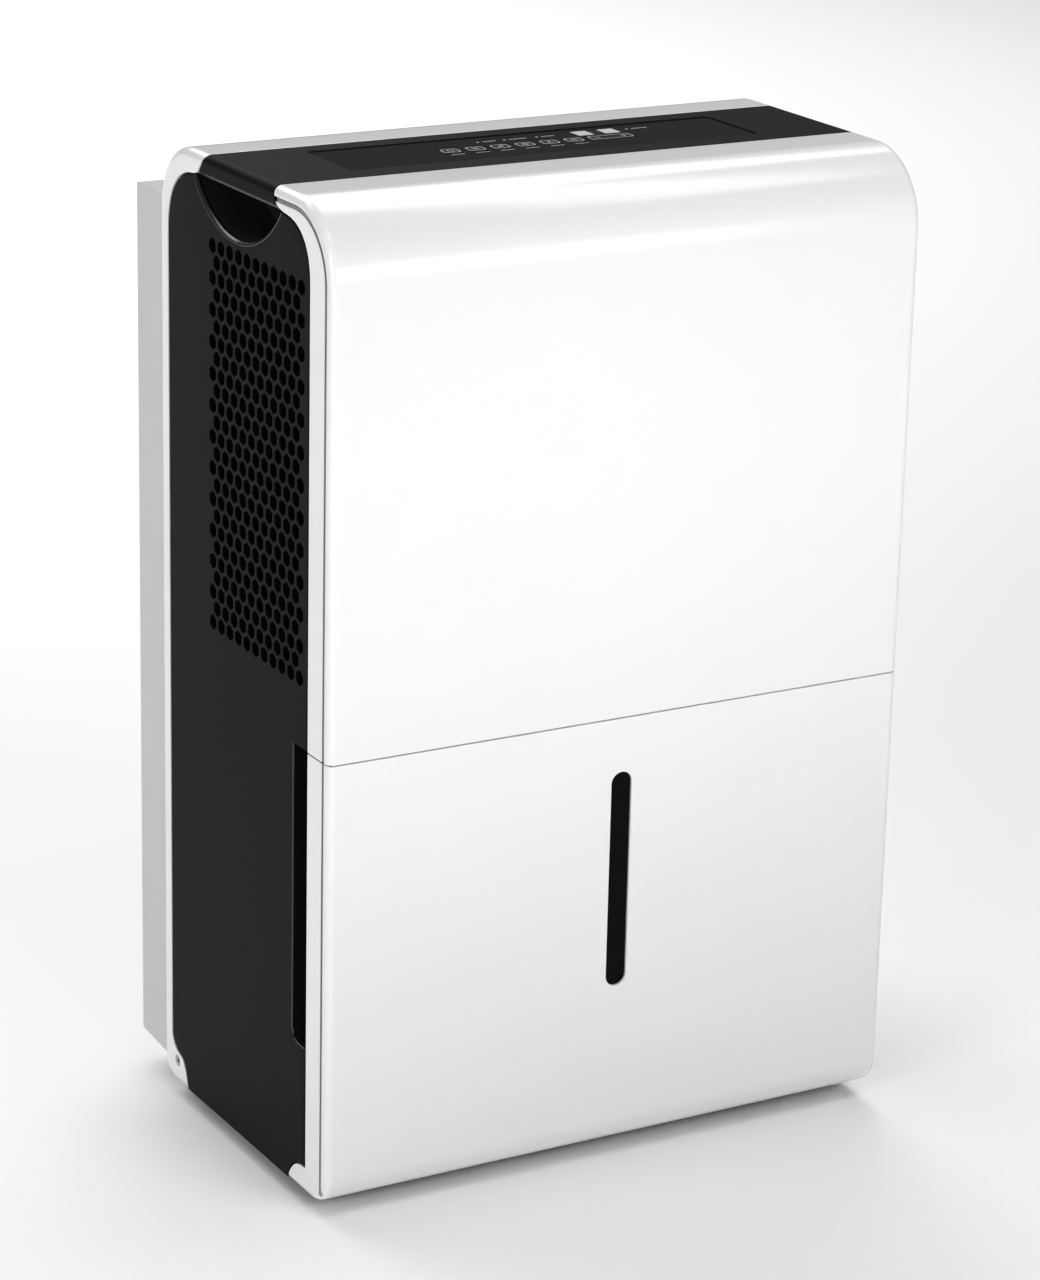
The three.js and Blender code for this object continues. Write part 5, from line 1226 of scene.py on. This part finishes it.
    def legends(self, level: float) -> None:
        """Short printed dashes under the keys and beside the wide key, in place of words."""
        top = level + self.print_lift
        prints = []
        for name in SIGNS:
            (x0, x1), (y0, _), _ = extent(name + "_button")
            x = (x0 + x1) / 2
            prints.append(block((x - 4.5, y0 - 3.4, level), (x + 4.5, y0 - 2.7, top)))
        x0, x1 = node_range("humidity_rocker", 0)
        y = centre_of("display_window")[1]
        starts = [(x0 + offset, length) for offset, length in self.dashes]
        starts.append((x1 + self.last_dash[0], self.last_dash[1]))
        for x, length in starts:
            prints.append(block((x, y - 0.5, level), (x + length, y + 0.4, top)))
            prints.append(prism(disc(x - 3, y, 0.9, 16), Axis.Z, level, top))
        place_piece("inlay_print", merge(*prints), [], "print_grey", "chassis")

    def display(self) -> None:
        """Tinted lens over two pale, unlit digit cells."""
        (x0, x1), (y0, y1), (low, high) = extent("display_window")
        face = high - 0.1
        lens = prism(rectangle(x0, x1, y0, y1, 1), Axis.Z, low, face, 4)
        place_piece("display_lens", lens, ["display_window"])
        cells = []
        for side in Side:
            x = (x0 + x1) / 2 + side.value * self.cell_offset
            stops = rectangle(x - self.cell_half, x + self.cell_half, y0 + self.cell_margin,
                              y1 - self.cell_margin, 0.8)
            cells.append(prism(stops, Axis.Z, face, high - 0.02, 4))
        place_piece("display_cells", merge(*cells), [], "display_cell", "chassis")


@dataclass
class Bucket:
    """Pull-out bucket: tub, lid, bail, window and float."""

    side_gap: float = 18.0
    wall: float = 2.5
    corner: float = 14.0
    foot_round: float = 8.0
    foot_taper: float = 6.0
    foot_depth: float = 0.93  # share of the tub's depth that its foot has
    ear_y: float = 62.0
    ear_half: float = 7.0
    ear_thick: float = 3.2
    ear_hole: float = 2.9
    bail_reach: float = 36.0
    bail_rise: float = 11.0
    bail_radius: float = 3.7
    bail_bend: float = 12.0
    bail_pin: float = 4.4  # how far each pin stands out of its arm's middle
    grip_half: float = 55.0
    lid_thick: float = 2.7
    window_front: float = 1.0
    window_lip: float = 2.8

    def build(self) -> None:
        """Builds the bucket's pieces."""
        self.tub()
        self.lid()
        self.bail()
        self.window()
        refined("bucket_float", 0.8, "white_shell", 50)

    @property
    def rim(self) -> float:
        """Level of the tub's rim."""
        return node_range("bucket_lid", 2)[1] - 3

    @property
    def pivot(self) -> float:
        """Level of the bail's pivots."""
        return self.rim + self.bail_rise

    def tub(self) -> None:
        """Open tub with rounded corners, leaning walls and ears for the bail."""
        half = CASING.half - self.side_gap
        _, (y0, y1), (foot, _) = extent("bucket_tub")
        to_middle = Matrix.Translation((0, -(y0 + y1) / 2, 0))
        bm = prism(rectangle(-half, half, y0, y1, self.corner), Axis.Z, foot, self.rim, 10)
        low = [v for v in bm.verts if v.co.z < foot + 1]
        shrink = (half - self.foot_taper) / half
        bmesh.ops.scale(bm, verts=low, vec=(shrink, self.foot_depth, 1), space=to_middle)
        base = [e for e in bm.edges if all(v.co.z < foot + 1 for v in e.verts)]
        round_edges(bm, base, self.foot_round, 6)
        inner = bm.copy()
        thinner = ((half - self.wall) / half, 1 - 2 * self.wall / (y1 - y0), 1)
        bmesh.ops.scale(inner, verts=inner.verts, vec=thinner, space=to_middle)
        bmesh.ops.translate(inner, verts=inner.verts, vec=(0, 0, self.wall))
        tops = [v for v in inner.verts if v.co.z > self.rim]
        bmesh.ops.translate(inner, verts=tops, vec=(0, 0, 20))
        bm = combine(bm, Join.CUT, inner)
        soften(bm, 0.6, 60)
        bm = combine(bm, Join.ADD, *self.ears(half), self.float_bracket(y1))
        place_piece("water_tub", bm, ["bucket_tub"])

    def ears(self, half: float) -> list[Mesh]:
        """Ears with the bail's pivot holes."""
        made = []
        low, high = self.rim - 8, self.pivot + self.ear_half
        y0, y1, round_end = self.ear_y - self.ear_half, self.ear_y + self.ear_half, 6.9
        stops = [(y0, low, 0.0), (y1, low, 0.0), (y1, high, round_end), (y0, high, round_end)]
        for side in Side:
            x = side.value * (half - self.wall / 2)
            ear = prism(stops, Axis.X, x - self.ear_thick / 2, x + self.ear_thick / 2, 10)
            hole = rod(Axis.X, (x - 5, x + 5), (0, self.ear_y, self.pivot), self.ear_hole, 28)
            made.append(combine(ear, Join.CUT, hole))
        return made

    def float_bracket(self, rear: float) -> Mesh:
        """Small bracket and pin that carry the float's arm."""
        x, y, z = centre_of("bucket_float")[0], rear - self.wall - 5, self.rim - 24
        arm = block((x - 3, y - 3, z - 10), (x + 3, rear - 1, z + 12))
        return combine(arm, Join.ADD, rod(Axis.X, (x - 6, x + 6), (0, y, z), 1.6, 20))

    def lid(self) -> None:
        """Snap-on lid with a drip opening, a pouring hole and a row of grooves."""
        (_, half), (y0, y1), (low, top) = extent("bucket_lid")
        under = top - self.lid_thick
        plate = prism(rectangle(-half, half, y0, y1, self.corner - 3), Axis.Z, under, top, 10)
        skirt = prism(rectangle(-half + 2, half - 2, y0 + 3.5, y1 - 3.5, 9),
                      Axis.Z, low, top - 2, 8)
        core = prism(rectangle(-half + 4, half - 4, y0 + 5.5, y1 - 5.5, 8),
                     Axis.Z, low - 1, under, 8)
        drip = prism(rectangle(-95, -25, 73, 111, 6), Axis.Z, low - 5, top + 5, 6)
        pour = prism(disc(half - 40, 62, 16), Axis.Z, low - 5, top + 5)
        bm = combine(combine(plate, Join.ADD, skirt), Join.CUT, core, drip, pour)
        grooves = [prism(rectangle(x, x + 1.2, 80, y1 - 8, 0.5), Axis.Z, top - 0.8, top + 3, 2)
                   for x in range(0, 160, 16)]
        bm = combine(bm, Join.CUT, *grooves)
        soften(bm, 0.4)
        place_piece("tub_lid", bm, ["bucket_lid"])

    def bail(self) -> None:
        """Carrying bail: a bent rod that lies over the lid, with a ribbed grip."""
        x, z, bend = node_range("bucket_handle", 0)[1] - self.bail_pin, self.pivot, self.bail_bend
        front = self.ear_y - self.bail_reach
        middle, pivot = (0, front, z), (0, self.ear_y, z)
        parts = [rod(Axis.X, (-x + bend, x - bend), middle, self.bail_radius, 28)]
        for side in Side:
            turn, start = side.value, side.value * (x - bend)
            parts += [
                elbow((0, 0, 1), (start, front, z), (start, front + bend, z), self.bail_radius,
                      turn * math.pi / 2, 28, 10),
                rod(Axis.Y, (front + bend, self.ear_y), (turn * x, 0, z), self.bail_radius, 28),
                rod(Axis.X, (turn * x - 2.9, turn * x + 2.9), pivot, 4.9, 28, 0.6),
                rod(Axis.X, side.span(x, x + self.bail_pin), pivot, 2.3, 20),
            ]
        grip = rod(Axis.X, (-self.grip_half, self.grip_half), middle, 5.1, 32, 1.2)
        ridges = [turned([(4.7, s), (5.2, s + 0.01), (5.2, s + 1.4), (4.7, s + 1.41)],
                         Axis.X, middle, 32) for s in range(-48, 48, 6)]
        bm = combine(parts[0], Join.ADD, *parts[1:], grip)
        bm = combine(bm, Join.CUT, *ridges)
        place_piece("carrying_bail", bm, ["bucket_handle"])

    def window(self) -> None:
        """Smoked level window, set a little back in its slot."""
        half, front, lip = Shells.window_wide / 2 - FIT, self.window_front, self.window_lip
        low, high = node_range("bucket_window", 2)
        pane = prism(rectangle(-half, half, low + 3.3, high - 2.3, half - 0.05),
                     Axis.Y, front, 3.6, 16)
        rim = prism(rectangle(-half - 3, half + 3, low, high, half + 2.9), Axis.Y, lip, 5.4, 12)
        edges = [e for e in pane.edges if all(v.co.y < front + 0.01 for v in e.verts)]
        round_edges(pane, edges, 0.6, 3)
        place_piece("level_window", combine(pane, Join.ADD, rim), ["bucket_window"])


@dataclass
class Intake:
    """Louvred grille and pull-up filter at the back."""

    slats: int = 17
    slat_height: float = 4.0
    lip: float = 5.0
    rim: float = 8.0
    mullion_half: float = 3.0
    pane_top: float = 19.0
    tab_half: float = 30.0
    tab_rise: float = 5.0

    def build(self) -> None:
        """Builds the grille and the filter."""
        self.grille()
        self.filter()

    def grille(self) -> None:
        """Frame with leaning slats and two ribs."""
        (_, half), (y0, y1), (low, high) = extent("intake_grille")
        outer = prism(rectangle(-half, half, low, high, 4), Axis.Y, y0, y1, 6)
        room = prism(rectangle(-half + self.lip, half - self.lip, low + self.lip, high - self.lip,
                               2), Axis.Y, y0 - 1, y1 + 1, 4)
        parts = [combine(outer, Join.CUT, room)]
        pitch = (high - low - 2 * self.lip) / (self.slats + 1)
        tall = self.slat_height / 2
        for i in range(1, self.slats + 1):
            z = low + self.lip + i * pitch
            stops = [(y0, z + 1 - tall, 0.9), (y1, z - 1 - tall, 0.9),
                     (y1, z - 1 + tall, 0.9), (y0, z + 1 + tall, 0.9)]
            parts.append(prism(stops, Axis.X, -half + 1, half - 1, 3))
        for x in (-half / 3, half / 3):
            parts.append(soft_block((x - 2, y0, low + 1), (x + 2, y0 + 2.5, high - 1), 0.5, 2))
        place_piece("louvre_grille", merge(*parts), ["intake_grille"])

    def filter(self) -> None:
        """Filter frame with its pull tab, and the net that it holds."""
        (_, half), (y0, y1), (low, high) = extent("air_filter")
        top, rim = high - self.tab_rise, self.rim
        border = prism(rectangle(-half, half, low, top, 4), Axis.Y, y0, y1, 6)
        panes = [prism(rectangle(x0, x1, low + rim, top - self.pane_top, 3),
                       Axis.Y, y0 - 1, y1 + 1, 4)
                 for x0, x1 in ((-half + rim, -self.mullion_half), (self.mullion_half, half - rim))]
        tab = soft_block((-self.tab_half, y0 + 1, top - 2), (self.tab_half, y1 - 1, high), 0.8, 3)
        bm = combine(combine(border, Join.CUT, *panes), Join.ADD, tab)
        place_piece("filter_frame", bm, ["air_filter"])
        middle = (y0 + y1) / 2
        net = block((-half + rim - 1, middle - 0.4, low + rim - 1),
                    (half - rim + 1, middle + 0.4, top - self.pane_top + 1))
        place_piece("filter_net", net, [], "filter_net", "filter")


@dataclass
class Underside:
    """Base pan, deck, bay wall and casters."""

    corners: tuple[str, ...] = ("front_left", "front_right", "rear_left", "rear_right")
    wheel_radius: float = 14.0

    def build(self) -> None:
        """Builds the underside."""
        for node, radius in (("base_pan", 0.6), ("drip_deck", 0.5), ("bay_wall", 0.4),
                             ("float_sensor", 0.8)):
            refined(node, radius)
        for corner in self.corners:
            refined(corner + "_caster_fork", 0.4, "", 50)
            self.wheel(corner + "_caster_wheel")

    def wheel(self, node: str) -> None:
        """Caster wheel with a rounded tread and a dished hub."""
        x, y, _ = centre_of(node)
        start, end = node_range(node, 0)
        half, r = (end - start) / 2, self.wheel_radius
        tread = mirrored([(9.6, -half + 0.6), (r - 2.2, -half), (r - 0.7, -half + 0.7),
                          (r, -half + 2.4)])
        hub = mirrored([(2.6, -half), (4.6, -half), (5.2, -half + 1.6), (8.6, -half + 1.8),
                        (9.5, -half + 0.5)])
        place_piece(node + "_tyre", turned(tread, Axis.X, (x, y, r), 64), [node])
        place_piece(node + "_hub", turned(hub, Axis.X, (x, y, r), 40), [], "hub_grey",
                    node_body(node))


@dataclass
class Works:
    """Fan, coils, compressor and pipes inside the casing."""

    fin_pitch: float = 3.2
    fin_thick: float = 0.5
    passes: int = 7
    tube: float = 4.0
    tube_reach: float = 4.0  # how far the tubes stand out of the end plates
    bend_room: float = 18.0

    def build(self) -> None:
        """Builds the inner parts."""
        for node in ("condenser", "evaporator"):
            self.coil(node)
        for node, radius in (("fan_scroll", 0.5), ("inlet_plate", 0.5), ("fan_wheel", 0.0)):
            refined(node, radius, "duct_black_and_painted_shade")
        for node, radius in (("fan_motor", 0.8), ("motor_bracket", 0.3), ("run_capacitor", 0.8)):
            refined(node, radius)
        for node in ("compressor", "fan_shaft", "humidity_sensor", "control_board",
                     "compressor_mount_1", "compressor_mount_2", "compressor_mount_3",
                     "suction_pipe", "discharge_pipe", "capillary_tube", "drain_tube"):
            refined(node, 0.0)

    def coil(self, node: str) -> None:
        """A stack of thin fins on return-bent tubes between two end plates."""
        (_, end), (y0, y1), (low, high) = extent(node)
        half, middle = end - self.bend_room, (y0 + y1) / 2
        count = int(2 * half / self.fin_pitch)
        parts = []
        for i in range(count + 1):
            x, reach = -half + i * 2 * half / count, self.fin_thick / 2
            parts.append(block((x - reach, y0, low), (x + reach, y1, high)))
        for x in (-half, half):
            parts.append(soft_block((x - 1, y0 - 0.5, low), (x + 1, y1 + 0.5, high), 0.3, 2))
        tubes = 2 * self.passes
        pitch = (high - low) / tubes
        tube_end = half + self.tube_reach
        for i in range(tubes):
            parts.append(rod(Axis.X, (-tube_end, tube_end), (0, middle, low + pitch * (i + 0.5)),
                             self.tube, 20))
        for i in range(tubes - 1):
            side = 1 if i % 2 else -1
            x, z = side * tube_end, low + pitch * (i + 1)
            parts.append(elbow((0, 1, 0), (x, middle, z - pitch / 2), (x, middle, z), self.tube,
                               -side * math.pi, 20, 14))
        place_piece(node + "_stack", merge(*parts), [node])


@dataclass
class Fittings:
    """Drain outlet and cap, cord gland and toe screws."""

    cap_radius: float = 12.9
    cap_thick: float = 4.5
    cap_ribs: int = 24
    plug_radius: float = 5.5
    screw_radius: float = 3.1
    recess: Span = (1.9, 0.45)
    recess_deep: float = 0.9

    def build(self) -> None:
        """Builds the fittings."""
        self.cap()
        self.gland()
        refined("drain_outlet", 0.4, "", 50)
        for side in Side:
            self.screw(side)

    def cap(self) -> None:
        """Rubber drain cap with a ribbed rim."""
        low, high = node_range("drain_cap", 0)
        centre = beside("drain_cap")
        face = high - self.cap_thick
        head = rod(Axis.X, (face, high), centre, self.cap_radius, 64, 1.0)
        plug = rod(Axis.X, (low, face + 1), centre, self.plug_radius, 32, 0.8)
        ribs = []
        for i in range(self.cap_ribs):
            turn, ring = 2 * math.pi * i / self.cap_ribs, self.cap_radius + 0.3
            place = (0, centre[1] + ring * math.cos(turn), centre[2] + ring * math.sin(turn))
            ribs.append(rod(Axis.X, (face + 0.8, high + 1), place, 0.9, 10))
        bm = combine(combine(head, Join.ADD, plug), Join.CUT, *ribs)
        place_piece("rubber_drain_cap", bm, ["drain_cap"])

    def gland(self) -> None:
        """Cord gland with a tapering collar round an open bore."""
        low, high = node_range("cord_gland", 0)
        profile = [(3.6, low), (8.0, low), (8.0, high - 5.2), (11.0, high - 5.2),
                   (11.0, high - 3.4), (9.0, high - 2.6), (7.4, high - 0.6), (6.8, high),
                   (4.2, high), (3.6, high - 0.8)]
        place_piece("cord_bushing", turned(profile, Axis.X, beside("cord_gland")), ["cord_gland"])

    def screw(self, side: Side) -> None:
        """Pan-head screw with a cross recess."""
        node = side.label + "_toe_screw"
        low, high = node_range(node, 0)
        _, y, z = beside(node)
        bm = rod(Axis.X, (low, high), (0, y, z), self.screw_radius, 36, 0.6)
        face, deep = high if side is Side.RIGHT else low, self.recess_deep
        for wide, tall in (self.recess, self.recess[::-1]):
            slot = block((face - deep, y - wide, z - tall), (face + deep, y + wide, z + tall))
            bm = combine(bm, Join.CUT, slot)
        place_piece(node + "_head", bm, [node])


# ---------- studio ----------
@dataclass(frozen=True)
class Lamp:
    """A rectangular soft light, its place and aim in millimetres."""

    name: str
    place: tuple[float, float, float]
    aim: tuple[float, float, float]
    size: tuple[float, float]
    power: float
    spread: float = 180.0  # how wide the light fans out, in degrees


@dataclass
class Studio:
    """Pale floor, soft lights and the camera."""

    camera_place: tuple[float, float, float] = (-1183.4, -1932.9, 1084.3)
    right: tuple[float, float, float] = (0.87031, -0.49202, 0.02184)
    up: tuple[float, float, float] = (0.13631, 0.28324, 0.94931)
    lens_mm: float = 114.05
    lights: list[Lamp] = field(default_factory=lambda: [
        Lamp("front_strip", (150, -1050, 760), (0, 0, 480), (1100, 300), 1.35, 60),
        Lamp("left_softbox", (-2000, -900, 900), (-196, 60, 350), (900, 1200), 17),
        Lamp("top_strip", (750, 300, 2000), (0, 60, 600), (1500, 300), 5.5),
        Lamp("rear_floor_wash", (0, 3500, 3200), (0, 3500, 0), (5000, 4000), 215),
        Lamp("front_floor_wash", (-300, -1500, 2600), (-300, -1100, 0), (3000, 1200), 11, 60),
    ])
    world: str = "#f4f5f6"
    world_strength: float = 0.15
    floor: str = "#f7f7f7"
    floor_half: float = 12.0  # metres

    def build(self) -> None:
        """Builds the floor, the lights, the world and the camera."""
        self.ground()
        for lamp in self.lights:
            self.hang(lamp)
        world = bpy.data.worlds.new("pale_room")
        world.use_nodes = True
        sky = world.node_tree.nodes["Background"]
        sky.inputs["Color"].default_value = linear(self.world)
        sky.inputs["Strength"].default_value = self.world_strength
        bpy.context.scene.world = world
        bpy.context.scene.view_settings.view_transform = "Standard"
        self.camera()

    def ground(self) -> None:
        """Large plain floor."""
        bm = bmesh.new()
        bmesh.ops.create_grid(bm, x_segments=1, y_segments=1, size=self.floor_half)
        floor = loose_object("floor", bm)
        material, shader = fresh_material("pale_floor")
        shader.inputs["Base Color"].default_value = linear(self.floor)
        shader.inputs["Roughness"].default_value = 0.9
        floor.data.materials.append(material)

    def hang(self, lamp: Lamp) -> None:
        """Adds one soft light."""
        light = bpy.data.lights.new(lamp.name, "AREA")
        light.shape = "RECTANGLE"
        light.size, light.size_y = (side * MM for side in lamp.size)
        light.energy = lamp.power
        light.spread = math.radians(lamp.spread)
        holder = bpy.data.objects.new(lamp.name, light)
        bpy.context.scene.collection.objects.link(holder)
        start, end = self.settled(lamp.place), self.settled(lamp.aim)
        holder.location = start
        holder.rotation_euler = (end - start).to_track_quat("-Z", "Y").to_euler()

    def camera(self) -> None:
        """Camera to the left of the front and a little above."""
        lens = bpy.data.cameras.new("studio_camera")
        lens.lens = self.lens_mm
        camera = bpy.data.objects.new("studio_camera", lens)
        bpy.context.scene.collection.objects.link(camera)
        right, up = Vector(self.right), Vector(self.up)
        back = right.cross(up)
        turn = Matrix((right, up, back)).transposed().to_4x4()
        camera.matrix_world = Matrix.Translation(self.settled(self.camera_place)) @ turn
        bpy.context.scene.camera = camera

    def settled(self, place: Point) -> Vector:
        """A place in millimetres as metres in the frame."""
        return Vector(place) * MM + Vector((0, CAD_BOX[0].y, 0))


def main() -> None:
    logging.basicConfig(level=logging.INFO, format="%(message)s")
    for part in (Shells(), SidePanels(), TopDeck(), Bucket(), Intake(), Underside(), Works(),
                 Fittings(), Studio()):
        LOG.info("-- %s", type(part).__name__)
        part.build()
    for node, owner in frame["nodes"].items():
        if not owner.hide_render:
            dress(node)


if __name__ == "__main__":
    main()
